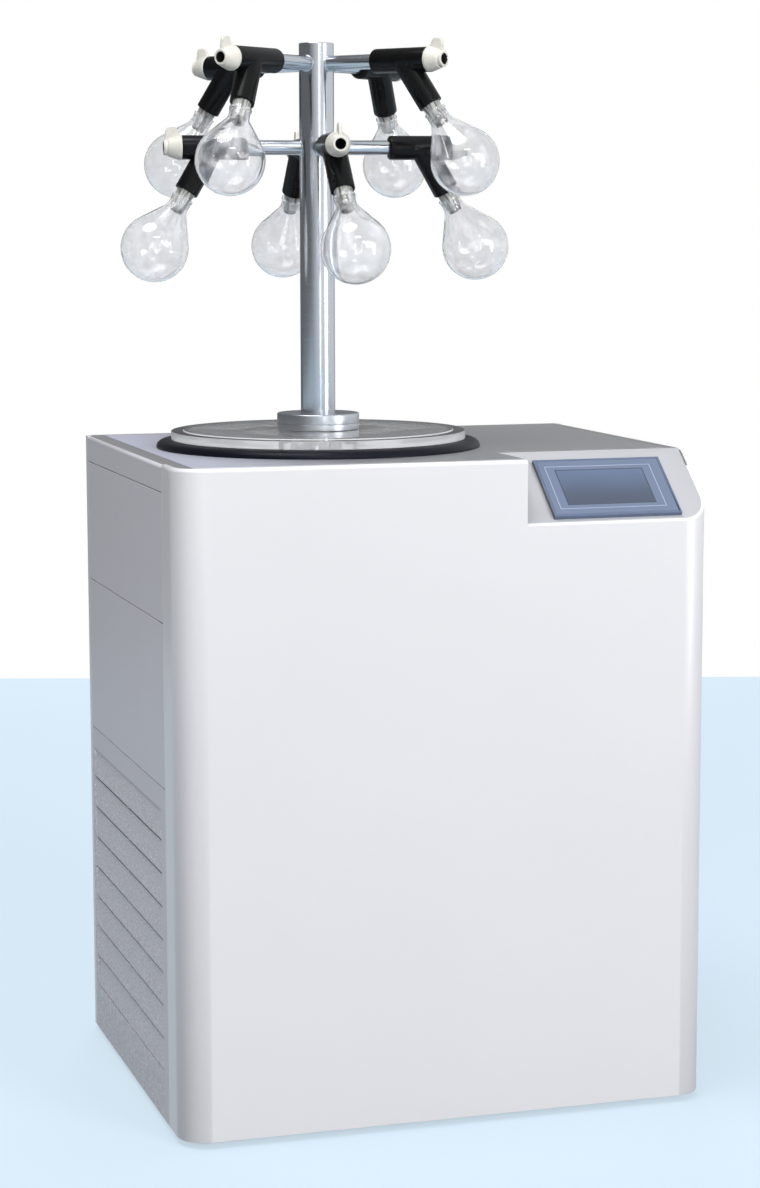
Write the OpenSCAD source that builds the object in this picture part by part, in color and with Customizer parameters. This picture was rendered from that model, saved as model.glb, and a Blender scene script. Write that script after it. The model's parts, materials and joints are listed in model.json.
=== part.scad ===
// Floor-standing laboratory freeze dryer: a steel cabinet with a cold trap under a clear lid,
// and a steel tree on the lid that carries eight flasks on rubber valves.
// Millimetres. The origin is on the floor under the middle of the whole machine, with the connections
// at the back counted in. The front faces -Y, and +Z is up.

/* [Cabinet] */
// Width of the cabinet
cabinet_w = 850; // [840:1:870]
// Depth of the cabinet
cabinet_d = 686; // [680:1:710]
// Height from the skirt's lower edge to the worktop
cabinet_h = 1019; // [1000:1:1050]
// Gap between the floor and the skirt
ground_gap = 10; // [8:1:12]
// Radius of the two front vertical corners
corner_r = 45; // [35:1:50]
// Radius of the two rear vertical corners
back_corner_r = 12; // [10:1:16]
// Outer radius of the bends along the top edges
bend_r = 6; // [4:0.5:7]
// Thickness of the steel sheet
sheet = 2; // [1.5:0.1:2.4]
// Depth of the front panel's returns along the sides
front_wrap = 98; // [90:1:110]
// Depth of the back panel's returns along the sides
back_wrap = 26; // [20:1:30]
// Width of the dark border beside the steel worktop
border_w = 28; // [20:1:34]
// Height of each side's top seam above the skirt's lower edge
top_seam = 977; // [960:1:990]
// Height of its middle seam
middle_seam = 779; // [740:1:820]
// Height of the seam over the vent panel
vent_seam = 525.5; // [510:0.5:560]
// Width of a seam between two side panels
seam_w = 1.6; // [0.8:0.2:2.4]

/* [Louvres] */
// Distance from one louvre slat to the next
slat_pitch = 52; // [46:1:54]
// Number of slats on each side
slat_count = 8; // [4:1:8]
// Open slit under each slat
slat_gap = 5; // [3:0.5:8]

/* [Console] */
// Distance from the centre line to the console's left wall
console_x = 120; // [110:1:130]
// How far the sloping console reaches back from the front
console_run = 130; // [125:1:135]
// How far it drops from the worktop to the front
console_drop = 101; // [95:1:105]
// Width of the operating screen
screen_w = 210; // [200:1:216]
// Height of the operating screen
screen_h = 127; // [118:1:132]

/* [Cold trap and lid] */
// Left-right place of the trap and the tree
trap_x = -114; // [-120:1:-100]
// Front-back place of the trap and the tree
trap_y = -40; // [-46:1:-22]
// Inner radius of the trap
trap_r = 200; // [190:1:203]
// Depth of the trap
trap_depth = 360; // [320:5:400]
// Outer radius of the lid gasket
gasket_r = 258.5; // [250:0.5:262]
// Radius of the clear lid
lid_r = 235; // [225:1:240]
// Thickness of the clear lid
lid_t = 15; // [12:0.5:18]

/* [Tree] */
// Outer radius of the upright tube
tube_r = 27.5; // [25:0.5:30]
// Height of the tube's closed top above the worktop
tube_top = 634; // [620:1:660]
// Height of the lower ring of arms above the worktop
lower_arms = 472; // [460:1:480]
// Height of the upper ring of arms above the worktop
upper_arms = 602; // [595:1:605]
// Outer radius of an arm tube
arm_r = 11.5; // [10:0.5:12]
// How far the tree is turned on the lid, in degrees
tree_turn = -7.3; // [-20:0.1:20]

/* [Valves and flasks] */
// Outer radius of a rubber valve body
valve_r = 19; // [18:0.5:20]
// Distance from the tree's axis to the inner end of a valve body
valve_start = 112; // [108:1:116]
// How much further out valve 2 sits on its arm
valve_2_out = 2; // [0:0.5:3]
// How much further in the two valves on the left side sit on their arms
left_valves_in = 8; // [0:0.5:9]
// Distance from the tree's axis to the outer end of a valve body
valve_end = 213.7; // [212:0.1:216]
// Distance from the tree's axis to the leg's axis, on the arm's axis
leg_root = 167.7; // [165:0.1:170]
// Length of the leg from the arm's axis
leg_len = 80.4; // [76:0.1:84]
// Angle of the leg from straight down, outwards
leg_tilt = 30.4; // [26:0.1:34]
// Sideways lean of the lower legs
lower_lean = 7; // [4:0.1:10]
// Sideways lean of the upper legs
upper_lean = 11.4; // [8:0.1:13]
// Length of the vent cap
cap_len = 28.3; // [26:0.1:30]
// Outer radius of a flask's bulb
bulb_r = 53; // [50:0.5:56]
// Distance from the leg's end to the bulb's centre
bulb_drop = 101.6; // [98:0.1:106]
// Thickness of the glass
glass_t = 2; // [1.5:0.1:2.5]

/* [Hidden] */
$fn = 96;

// Cabinet faces and levels; the connections reach back past the rear panel, so the cabinet stands forward
rear_reach = 68;
middle_y = -rear_reach / 2;
side_x = cabinet_w / 2;
front_y = middle_y - cabinet_d / 2;
back_y = middle_y + cabinet_d / 2;
skirt_z = ground_gap;
top_z = ground_gap + cabinet_h;
lip_w = bend_r + 2;
wrap_y = front_y + front_wrap;
side_y = [wrap_y + 0.3, back_y - back_wrap - 0.3];
seam_z = [for (h = [top_seam, middle_seam, vent_seam]) skirt_z + h];
flange_w = 12;

// Base tray, posts and rails
tray_z = skirt_z + 6;
tray_t = 3;
floor_z = tray_z + tray_t;
rim_h = 40;
post_w = 30;
post_t = 3;
rail_w = 25;
rail_z = skirt_z + 850;
front_post_y = wrap_y - 20;
foot_at = [350, 255];
foot_r = 22;
stud_r = 5;

// Louvre field, in the vent panel's own plane
field_y = [front_y + 128, back_y - 43];
field_top = skirt_z + 490;
slat_t = 1.2;
slat_rake = 2.6;
rib_w = 3;

// Console plane, from the worktop's edge down to the front
screen_size = [screen_w, screen_h];
console_y = front_y + console_run;
slope_a = atan2(console_drop, console_run);
slope_len = norm([console_run, console_drop]);
console_rim = 5;
screen_x = 270.5;
screen_s = 89.5;
screen_raise = 7;
screen_rim = 4;
glass_plate_t = 1.6;
screen_case = [188, 105, 30];

// Trap and lid
plate_t = 1;
plate_z = top_z + plate_t;
pot_flange_r = trap_r + 12.5;
foam_r = trap_r + 45;
foam_bottom = 45;
pot_z = top_z - trap_depth;
lid_z = top_z + 13.5;
lid_top = lid_z + lid_t;
collar_r = 65.5;
collar_h = 26;
bolt_circle_r = 41;
bolt_count = 6;
bolt_r = 3;
nut_flange_r = 52;
nut_flange_t = 7;
coil_r = 174;
coil_tube_r = 6;
coil_rings = 9;
coil_pitch = 30;
coil_z = pot_z + 30;
coil_top = coil_z + coil_pitch * (coil_rings - 1);
header_r = 8;
suction_x = 160;
drain_r = 8;

// Tree and valves
arm_heights = [lower_arms, upper_arms];
leg_leans = [lower_lean, upper_lean];
tube_t = 2;
arm_t = 1.5;
arm_end = 150;
core_start = 172;
core_r = 13;
core_fit = 0.06;
cap_start = valve_end + 0.3;
cap_base_r = 19.3;
cap_tip_r = 12.2;
vent_r = 8;
wing_t = 5;
wing_top = 32;
leg_bore_r = 10;
stub_r = 9.9;
stub_len = 30;
joint_r = 14.8;
joint_tip_r = 10.2;
joint_len = 36;
rim_drop = 10;
socket_end = 20;
joint_fit = 0.06;
neck_r = 16.2;
neck_end = 28.5;
pear_tuck = 0.15;

// Machine bay
compressor_at = [235, middle_y - 6];
compressor_r = 95;
compressor_h = 205;
fin_x = [-398, -343];
fin_y = [middle_y - 200, middle_y + 240];
fin_z = [floor_z + 16, 470];
fin_pitch = 10;
fan_at = [middle_y + 20, 260];
fan_r = 164;
fan_x = [-338, -304];
shroud_r = 172;
strut_x = [-298, -290];
motor_r = 40;
shaft_r = 5;
vacuum_z = pot_z + 50;
port_r = 12.7;
port_len = 42;
drain_z = 300;
valve_box_y = [back_y + 10, back_y + 46];
spout_len = rear_reach - 46;
stem_y = (valve_box_y[0] + valve_box_y[1]) / 2;
stem_z = 18;
lever_z = stem_z + 0.3;
lever_t = 3;
inlet_at = [250, 150];
rocker_tilt = 10;
rocker_x = 15;
rocker_pin_r = 1.4;

// ---------- shared shapes ----------

// Outline of the cabinet seen from above, with rounded corners
module plan(inset = 0) {
    translate([-side_x + inset, front_y + corner_r])
        square([cabinet_w - 2 * inset, cabinet_d - corner_r - back_corner_r]);
    translate([-side_x + corner_r, front_y + inset])
        square([cabinet_w - 2 * corner_r, cabinet_d - corner_r - inset]);
    translate([-side_x + back_corner_r, front_y + corner_r])
        square([cabinet_w - 2 * back_corner_r, cabinet_d - corner_r - inset]);
    for (s = [-1, 1]) {
        translate([s * (side_x - corner_r), front_y + corner_r]) circle(corner_r - inset);
        translate([s * (side_x - back_corner_r), back_y - back_corner_r]) circle(back_corner_r - inset);
    }
}

// Section of a sheet wall whose top edge is bent inwards; the outer face is at x = 0, the top at y = 0
module bent_section(height) {
    translate([-sheet, -height]) square([sheet, height - bend_r]);
    translate([-bend_r, -bend_r]) intersection() {
        difference() {
            circle(bend_r);
            circle(bend_r - sheet);
        }
        square(bend_r + 1);
    }
    translate([-lip_w, -sheet]) square([lip_w - bend_r, sheet]);
}

// The same section along a straight stretch: start point, outward direction, length
module bent_wall(at, outward, length, height)
    translate([at.x, at.y, top_z]) rotate([90, 0, outward])
        linear_extrude(length) bent_section(height);

// Places its children on the console plane: x along the console, y up the slope, z out of it
module on_slope(x = 0, down = 0)
    translate([x, console_y, top_z]) rotate([slope_a, 0, 0]) translate([0, -down, 0]) children();

// Everything above the console plane, right of its left wall
module above_slope() on_slope(console_x)
    translate([0, -slope_len - 60, 0]) cube([400, slope_len + 120, 200]);

// A sheet that lies under the console plane
module slope_slab(x, thick) on_slope(x)
    translate([0, -slope_len - 20, -thick]) cube([400, slope_len + 20, thick]);

// Axis of the trap and the tree
module at_trap(z = 0) translate([trap_x, trap_y, z]) children();

// A round bar from one point to the next, with a ball at each bend
module pipe_run(points, r) {
    for (i = [0 : len(points) - 2]) {
        step = points[i + 1] - points[i];
        translate(points[i]) rotate([0, acos(step.z / norm(step)), atan2(step.y, step.x)])
            cylinder(h = norm(step), r = r);
        if (i > 0) translate(points[i]) sphere(r);
    }
}

module hex(across, height) cylinder(h = height, r = across / 2 / cos(30), $fn = 6);

// ---------- cabinet ----------

module base_frame() color([0.55, 0.56, 0.58]) difference() {
    intersection() {
        frame_members();
        translate([0, 0, tray_z]) linear_extrude(top_z) plan(sheet);
    }
    foot_places() translate([0, 0, tray_z - 1]) cylinder(h = tray_t + 2, r = stud_r + 0.2);
    back_screw_holes();
}

// The tray with its rim, the posts and the rails
module frame_members() {
    translate([0, 0, tray_z]) linear_extrude(tray_t) plan(sheet);
    translate([0, 0, tray_z]) linear_extrude(rim_h) difference() {
        plan(sheet);
        plan(sheet + tray_t);
    }
    for (m = [0, 1]) mirror([m, 0, 0]) {
        frame_post(-side_x + sheet, back_y - sheet - post_w, top_z - sheet - bend_r, false);
        frame_post(-side_x + sheet, front_post_y, rail_z + rail_w, true);
        translate([-side_x + sheet, front_post_y, rail_z])
            cube([rail_w, back_y - sheet - front_post_y, rail_w]);
    }
    for (y = [front_post_y - rail_w, back_y - sheet - rail_w])
        translate([-side_x + sheet, y, rail_z]) cube([cabinet_w - 2 * sheet, rail_w, rail_w]);
}

module foot_places() for (x = [-1, 1], y = [-1, 1])
    translate([x * foot_at.x, middle_y + y * foot_at.y, 0]) children();

// An angle-section post; the angle opens towards the machine bay
module frame_post(x, y, top, at_front) difference() {
    translate([x, y, tray_z]) cube([post_w, post_w, top - tray_z]);
    translate([x + post_t, y + (at_front ? post_t : -1), tray_z - 1])
        cube([post_w, post_w - post_t + 1, top - tray_z + 2]);
}

module front_panel() color([0.90, 0.91, 0.93]) {
    difference() {
        union() {
            bent_wall([side_x - corner_r, front_y], -90, cabinet_w - 2 * corner_r, cabinet_h);
            bent_wall([-side_x, front_y + corner_r], 180, front_wrap - corner_r, cabinet_h);
            bent_wall([side_x, wrap_y], 0, front_wrap - corner_r, cabinet_h);
            for (s = [-1, 1])
                translate([s * (side_x - corner_r), front_y + corner_r, top_z])
                    rotate([0, 0, s < 0 ? 180 : 270])
                        rotate_extrude(angle = 90) translate([corner_r, 0]) bent_section(cabinet_h);
        }
        above_slope();
    }
    intersection() {
        slope_slab(console_x, sheet);
        translate([0, 0, skirt_z]) linear_extrude(cabinet_h) intersection() {
            difference() {
                plan();
                plan(console_rim);
            }
            translate([0, front_y]) square([side_x, front_wrap]);
        }
    }
}

back_screw_z = [60, 300, 540, 780, 990];

module back_screw_places() for (x = [-1, 1], z = back_screw_z)
    translate([x * (side_x - sheet - post_w / 2), back_y, z]) rotate([-90, 0, 0]) children();

module back_screw_holes() back_screw_places() translate([0, 0, -8]) cylinder(h = 9, r = 2.1);

module back_panel() color([0.86, 0.87, 0.89]) difference() {
    translate([0, 0, skirt_z]) linear_extrude(cabinet_h) difference() {
        plan();
        translate([-side_x - 1, front_y - 1]) square([cabinet_w + 2, cabinet_d - back_wrap + 1]);
    }
    translate([0, 0, skirt_z - 1]) linear_extrude(cabinet_h - sheet + 1) plan(sheet);
    translate([-side_x + lip_w, back_y - back_wrap - 1, top_z - sheet - 1])
        cube([cabinet_w - 2 * lip_w, back_wrap - lip_w + 1, sheet + 2]);
    back_screw_holes();
    for (row = [0 : 9], x = [-300, 60])
        translate([x, back_y - sheet - 1, 420 + 22 * row]) cube([240, sheet + 2, 6]);
    translate([trap_x, back_y - 5, vacuum_z]) rotate([-90, 0, 0]) cylinder(h = 10, r = port_r + 0.4);
    translate([trap_x, back_y - 5, drain_z]) rotate([-90, 0, 0]) cylinder(h = 10, r = drain_r + 0.4);
    inlet_place() translate([-28, -13.5, -5]) cube([56, 27, 10]);
}

// Painted cover: skirts over the side panels and the sheet under the worktop
module top_cover() color([0.58, 0.59, 0.62]) difference() {
    union() {
        bent_wall([-side_x, side_y[0]], 180, side_y[1] - side_y[0], top_z - seam_z[0] - seam_w / 2);
        bent_wall([side_x, side_y[1]], 0, side_y[1] - side_y[0], top_z - seam_z[0] - seam_w / 2);
        translate([0, 0, top_z - sheet]) linear_extrude(sheet) {
            plan(lip_w + 0.3);
            translate([-side_x + lip_w - 0.5, side_y[0]])
                square([cabinet_w - 2 * lip_w + 1, side_y[1] - side_y[0]]);
        }
    }
    at_trap(top_z - 5) cylinder(h = 10, r = pot_flange_r + 0.3);
    translate([console_x - sheet - 0.3, front_y - 1, top_z - sheet - 1])
        cube([side_x, console_run + 1, sheet + 2]);
    above_slope();
}

// Bright steel worktop, laid on the cover
module top_plate() color([0.74, 0.76, 0.80])
    translate([0, 0, top_z]) linear_extrude(plate_t) difference() {
        intersection() {
            plan(lip_w + 0.6);
            translate([-side_x + border_w, front_y])
                square([cabinet_w - 2 * border_w, cabinet_d - border_w]);
        }
        translate([console_x - sheet - 4, front_y - 1]) square([side_x, console_run + 5]);
        translate([trap_x, trap_y]) circle(trap_r);
    }

// A flat side panel with folded edges, on the left side
module side_panel(low, high) {
    translate([-side_x, side_y[0], low]) cube([sheet, side_y[1] - side_y[0], high - low]);
    for (z = [low, high - sheet])
        translate([-side_x, side_y[0] + 40, z]) cube([flange_w, side_y[1] - side_y[0] - 80, sheet]);
}

// The lower side panel, with raked slats across an open field
module vent_panel() {
    low = skirt_z;
    high = seam_z[2] - seam_w / 2;
    field_h = slat_pitch * slat_count + slat_gap;
    difference() {
        translate([-side_x, side_y[0], low]) cube([sheet, side_y[1] - side_y[0], high - low]);
        translate([-side_x - 1, field_y[0], field_top - field_h])
            cube([sheet + 2, field_y[1] - field_y[0], field_h]);
    }
    translate([-side_x, side_y[0] + 40, high - sheet]) cube([flange_w, side_y[1] - side_y[0] - 80, sheet]);
    for (i = [0 : slat_count - 1]) vent_slat(field_top - i * slat_pitch);
    for (y = [field_y[0] - rib_w, field_y[0] + (field_y[1] - field_y[0]) / 2, field_y[1]])
        translate([-side_x + sheet, y, field_top - field_h - 3]) cube([rib_w, rib_w, field_h + 6]);
}

// A slat leans out from its top edge to its foot, which is folded back in
module vent_slat(top) {
    drop = slat_pitch - slat_gap;
    foot = -rib_w - sheet + 1.2;
    translate([-side_x + sheet + rib_w - 1, field_y[1], top]) rotate([90, 0, 0])
        linear_extrude(field_y[1] - field_y[0]) polygon([
            [0, 0], [-slat_t, 0], [foot, -drop + 3], [foot, -drop],
            [0, -drop], [0, -drop + slat_t], [-slat_rake, -drop + slat_t]
        ]);
}

module left_upper_panel() color([0.62, 0.63, 0.67])
    side_panel(seam_z[1] + seam_w / 2, seam_z[0] - seam_w / 2);
module left_middle_panel() color([0.62, 0.63, 0.67])
    side_panel(seam_z[2] + seam_w / 2, seam_z[1] - seam_w / 2);
module left_vent_panel() color([0.60, 0.61, 0.64]) vent_panel();
module right_upper_panel() mirror([1, 0, 0]) left_upper_panel();
module right_middle_panel() mirror([1, 0, 0]) left_middle_panel();
module right_vent_panel() mirror([1, 0, 0]) left_vent_panel();

// Sloping console sheet with its left wall
module console_panel() color([0.82, 0.83, 0.84]) {
    difference() {
        intersection() {
            slope_slab(console_x - sheet, sheet);
            translate([0, 0, skirt_z]) linear_extrude(cabinet_h) intersection() {
                plan(console_rim + 0.2);
                translate([0, front_y]) square([side_x, console_run]);
            }
        }
        on_slope(screen_x, screen_s)
            translate([-screen_case.x / 2 - 1, -screen_case.y / 2 - 1, -5])
                cube([screen_case.x + 2, screen_case.y + 2, 10]);
    }
    translate([console_x, 0, 0]) rotate([90, 0, -90]) linear_extrude(sheet) console_wall_outline();
}

// Outline of the left wall, notched to pass under the front panel's bent edge
module console_wall_outline() {
    near = -front_y - sheet - 0.2;
    under_lip = top_z - sheet - 0.2;
    polygon([
        [-console_y, top_z], [-console_y, top_z - sheet * 1.5], [near, top_z - console_drop],
        [near, top_z - bend_r], [-front_y - bend_r, under_lip], [-front_y - lip_w - 0.3, under_lip],
        [-front_y - lip_w - 0.3, top_z]
    ]);
}

// A plate centred on the console plane's screen place, from z up by the last of its sizes
module screen_plate(size, z) on_slope(screen_x, screen_s)
    translate([-size.x / 2, -size.y / 2, z]) cube(size);

// Screen frame with a recess for the glass, and the electronics case behind the console sheet
module screen_bezel() color([0.22, 0.24, 0.30]) {
    difference() {
        screen_plate([screen_size.x, screen_size.y, screen_raise], 0);
        screen_plate([screen_size.x - 2 * screen_rim, screen_size.y - 2 * screen_rim, 5], screen_raise - 2);
    }
    screen_plate([screen_case.x, screen_case.y, screen_case.z + 1], -screen_case.z);
}

module screen_glass() color([0.42, 0.48, 0.62]) screen_plate([
    screen_size.x - 2 * screen_rim - 0.4, screen_size.y - 2 * screen_rim - 0.4, glass_plate_t
], screen_raise - 2);

module panel_screws() color([0.7, 0.7, 0.72]) back_screw_places() {
    translate([0, 0, -6]) cylinder(h = 7, r = 2);
    difference() {
        cylinder(h = 2.6, r1 = 5, r2 = 4);
        translate([-0.6, -3, 1.6]) cube([1.2, 6, 2]);
        translate([-3, -0.6, 1.6]) cube([6, 1.2, 2]);
    }
}

module levelling_feet() color([0.12, 0.12, 0.13]) foot_places() {
    cylinder(h = 8, r1 = foot_r, r2 = foot_r - 5);
    translate([0, 0, 8]) hex(17, tray_z - 8);
    cylinder(h = 42, r = stud_r);
}

// ---------- lid ----------

module lid_gasket() color([0.03, 0.03, 0.03]) at_trap(plate_z) {
    height = lid_z - plate_z;
    round_r = height - 3;
    rotate_extrude($fn = 128) {
        translate([trap_r + 5, 0]) square([gasket_r - round_r * 1.6 - trap_r - 5, height]);
        translate([gasket_r - 30, 0]) square([30, 3]);
        polygon([
            [gasket_r - round_r * 1.6 - 1, 0], [gasket_r, 0], [gasket_r, 3],
            [gasket_r - round_r * 0.25, 3 + round_r * 0.55], [gasket_r - round_r * 0.8, 3 + round_r * 0.88],
            [gasket_r - round_r * 1.6, height], [gasket_r - round_r * 1.6 - 1, height]
        ]);
    }
}

module lid_disc() color([0.85, 0.90, 0.92, 0.5]) at_trap(lid_z) difference() {
    rotate_extrude($fn = 128) polygon([
        [0, 0], [lid_r - 1, 0], [lid_r, 1], [lid_r, lid_t - 1], [lid_r - 1, lid_t], [0, lid_t]
    ]);
    translate([0, 0, -1]) cylinder(h = lid_t + 2, r = tube_r + 0.3);
    bolt_ring() translate([0, 0, -1]) cylinder(h = lid_t + 2, r = bolt_r + 0.3);
}

module bolt_ring() for (i = [0 : bolt_count - 1])
    rotate([0, 0, tree_turn + i * 360 / bolt_count]) translate([bolt_circle_r, 0, 0]) children();

module manifold_collar() color([0.72, 0.75, 0.80]) at_trap(lid_top) difference() {
    rotate_extrude() {
        translate([tube_r + 0.1, 0]) square([collar_r - 3.5 - tube_r, collar_h]);
        polygon([
            [tube_r + 10, 0], [collar_r, 0], [collar_r, 12.5], [collar_r - 2.5, 13.5],
            [collar_r - 2.5, 14.5], [collar_r, 15.5], [collar_r, collar_h - 1.5],
            [collar_r - 1.5, collar_h], [tube_r + 10, collar_h]
        ]);
    }
    bolt_ring() translate([0, 0, -1]) cylinder(h = 13, r = bolt_r + 0.1);
}

module collar_nut() color([0.06, 0.06, 0.07]) at_trap() difference() {
    union() {
        translate([0, 0, lid_z - nut_flange_t]) cylinder(h = nut_flange_t, r = nut_flange_r);
        translate([0, 0, lid_z - nut_flange_t - 11]) hex(64, 12);
    }
    translate([0, 0, top_z - 20]) cylinder(h = 60, r = tube_r + 0.1);
    bolt_ring() translate([0, 0, top_z]) cylinder(h = 30, r = bolt_r + 0.3);
}

module collar_bolts() color([0.80, 0.81, 0.82]) at_trap() bolt_ring() {
    translate([0, 0, lid_z - nut_flange_t - 5.5]) hex(11, 5.5);
    translate([0, 0, lid_z - nut_flange_t - 1]) cylinder(h = nut_flange_t + lid_t + 10, r = bolt_r);
}

// ---------- tree ----------

function arm_turn(i) = tree_turn + 90 * ((i - 1) % 4) + (i > 4 ? 45 : 0);
function arm_level(i) = i > 4 ? 1 : 0;

// Frame of arm i: x outwards along the arm, z up
module on_arm(i) translate([trap_x, trap_y, top_z + arm_heights[arm_level(i)]])
    rotate([0, 0, arm_turn(i) - 90]) children();

// Frame of leg i: the origin is at the leg's end, z runs on down the leg
module on_leg(i) on_arm(i) translate([leg_root, 0, 0]) rotate([leg_leans[arm_level(i)], 0, 0])
    rotate([0, 180 - leg_tilt, 0]) translate([0, 0, leg_len]) children();

module manifold_tube() color([0.72, 0.75, 0.80]) difference() {
    union() {
        at_trap(top_z - 18) cylinder(h = tube_top + 18, r = tube_r);
        for (i = [1 : 8]) on_arm(i) rotate([0, 90, 0]) cylinder(h = arm_end, r = arm_r);
    }
    at_trap(top_z - 19) cylinder(h = tube_top + 19 - 3, r = tube_r - tube_t);
    for (i = [1 : 8]) on_arm(i) translate([tube_r - 5, 0, 0]) rotate([0, 90, 0])
        cylinder(h = arm_end, r = arm_r - arm_t);
}

function body_start(i) = valve_start + (i == 2 ? valve_2_out : i % 4 == 0 ? -left_valves_in : 0);

module valve_body(i) color([0.04, 0.04, 0.04]) difference() {
    start = body_start(i);
    union() {
        on_arm(i) translate([start, 0, 0]) rotate([0, 90, 0]) rotate_extrude() {
            square([valve_r - 5, valve_end - start]);
            translate([0, 5]) square([valve_r, valve_end - start - 5]);
            translate([valve_r - 5, 5]) circle(5);
        }
        on_leg(i) translate([0, 0, -leg_len]) cylinder(h = leg_len, r = valve_r);
    }
    on_arm(i) translate([start - 1, 0, 0]) rotate([0, 90, 0]) {
        cylinder(h = arm_end - start + 1.2, r = arm_r + 0.1);
        cylinder(h = valve_end - start, r = arm_r - 1);
        translate([0, 0, core_start - start]) cylinder(h = 60, r = core_r + core_fit);
    }
    on_leg(i) translate([0, 0, -leg_len]) cylinder(h = leg_len + 1, r = leg_bore_r);
}

// Vent plug, its cap and the wing that turns it, moulded as one piece
module valve_core(i) color([0.93, 0.92, 0.87]) on_arm(i) difference() {
    union() {
        rotate([0, 90, 0]) rotate_extrude() polygon([
            [0, core_start + 1], [core_r - 1, core_start + 1], [core_r, core_start + 2],
            [core_r, cap_start], [cap_base_r, cap_start], [cap_base_r, cap_start + 4],
            [cap_tip_r + 2, cap_start + cap_len - 7.5],
            [cap_tip_r, cap_start + cap_len - 6], [cap_tip_r, cap_start + cap_len - 1.5],
            [cap_tip_r - 1.5, cap_start + cap_len], [0, cap_start + cap_len]
        ]);
        rotate([90, 0, 0]) translate([cap_start, 0, -wing_t / 2]) linear_extrude(wing_t) polygon([
            [1, 12], [1, 18], [4.5, 24], [6.5, wing_top - 3], [9, wing_top - 0.8], [12, wing_top],
            [21, wing_top - 0.5], [23.5, wing_top - 2.5], [25, wing_top - 7], [26, 18], [26, 10]
        ]);
    }
    translate([core_start + 8, 0, 0]) rotate([0, 90, 0]) cylinder(h = 80, r = vent_r);
    translate([core_start + 16, 0, 0]) cylinder(h = core_r + 2, r = vent_r - 2.5);
}

module valve_body_1() valve_body(1);
module valve_body_2() valve_body(2);
module valve_body_3() valve_body(3);
module valve_body_4() valve_body(4);
module valve_body_5() valve_body(5);
module valve_body_6() valve_body(6);
module valve_body_7() valve_body(7);
module valve_body_8() valve_body(8);
module valve_core_1() valve_core(1);
module valve_core_2() valve_core(2);
module valve_core_3() valve_core(3);
module valve_core_4() valve_core(4);
module valve_core_5() valve_core(5);
module valve_core_6() valve_core(6);
module valve_core_7() valve_core(7);
module valve_core_8() valve_core(8);

// Frosted joint between a leg and its flask
module flask_adapters() color([0.62, 0.63, 0.60]) for (i = [1 : 8]) on_leg(i) rotate_extrude() polygon([
    [5, -stub_len], [stub_r, -stub_len], [stub_r, 0], [joint_r, 0], [joint_tip_r, joint_len - 1],
    [joint_tip_r - 1, joint_len], [4, joint_len], [4, joint_len - 6], [5, joint_len - 8]
]);

// Half section of a pear-shaped body: a neck that flares out onto a round bulb
module pear(neck, neck_to, bulb) {
    away = bulb_drop - neck_to;
    met_r = bulb - pear_tuck;
    flare = asin(met_r / norm([away, neck])) - atan2(neck, away);
    polygon([
        [0, neck_to], [neck, neck_to],
        [met_r * cos(flare), bulb_drop - met_r * sin(flare)], [0, bulb_drop - met_r * sin(flare)]
    ]);
    intersection() {
        translate([0, bulb_drop]) circle(bulb);
        translate([0, neck_to]) square([bulb * 2, bulb * 4]);
    }
}

function joint_at(x) = joint_r - (joint_r - joint_tip_r) * x / joint_len;

module flask(i) color([0.88, 0.92, 0.94, 0.4]) on_leg(i) rotate_extrude() difference() {
    union() {
        translate([0, rim_drop]) square([neck_r, neck_end - rim_drop]);
        translate([0, rim_drop]) square([neck_r + 1.2, 3]);
        pear(neck_r, neck_end, bulb_r);
    }
    polygon([
        [-1, rim_drop - 1], [joint_at(rim_drop - 1) + joint_fit, rim_drop - 1],
        [joint_at(socket_end) + joint_fit, socket_end], [neck_r - glass_t, socket_end + 2],
        [neck_r - glass_t, neck_end + 1], [-1, neck_end + 1]
    ]);
    pear(neck_r - glass_t, neck_end + 1, bulb_r - glass_t);
}

module flask_1() flask(1);
module flask_2() flask(2);
module flask_3() flask(3);
module flask_4() flask(4);
module flask_5() flask(5);
module flask_6() flask(6);
module flask_7() flask(7);
module flask_8() flask(8);

// ---------- cold trap ----------

module trap_pot() color([0.75, 0.76, 0.78]) difference() {
    at_trap() union() {
        translate([0, 0, pot_z]) cylinder(h = trap_depth, r = trap_r + sheet);
        translate([0, 0, top_z - sheet]) cylinder(h = sheet, r = pot_flange_r);
        translate([0, 0, pot_z - 25]) cylinder(h = 26, r = drain_r);
    }
    at_trap(pot_z + sheet) cylinder(h = trap_depth, r = trap_r);
    at_trap(pot_z - 26) cylinder(h = 40, r = drain_r - 1.5);
    translate([trap_x, trap_y, vacuum_z]) rotate([-90, 0, 0]) cylinder(h = trap_r + 10, r = port_r);
    coil_tail_holes();
}

module coil_tail_holes() {
    hole_r = coil_tube_r + 0.3;
    at_trap(coil_top) rotate([0, 90, 0]) cylinder(h = foam_r + 10, r = hole_r);
    at_trap(coil_z) rotate([0, -90, 0]) cylinder(h = foam_r + 10, r = hole_r);
}

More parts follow.
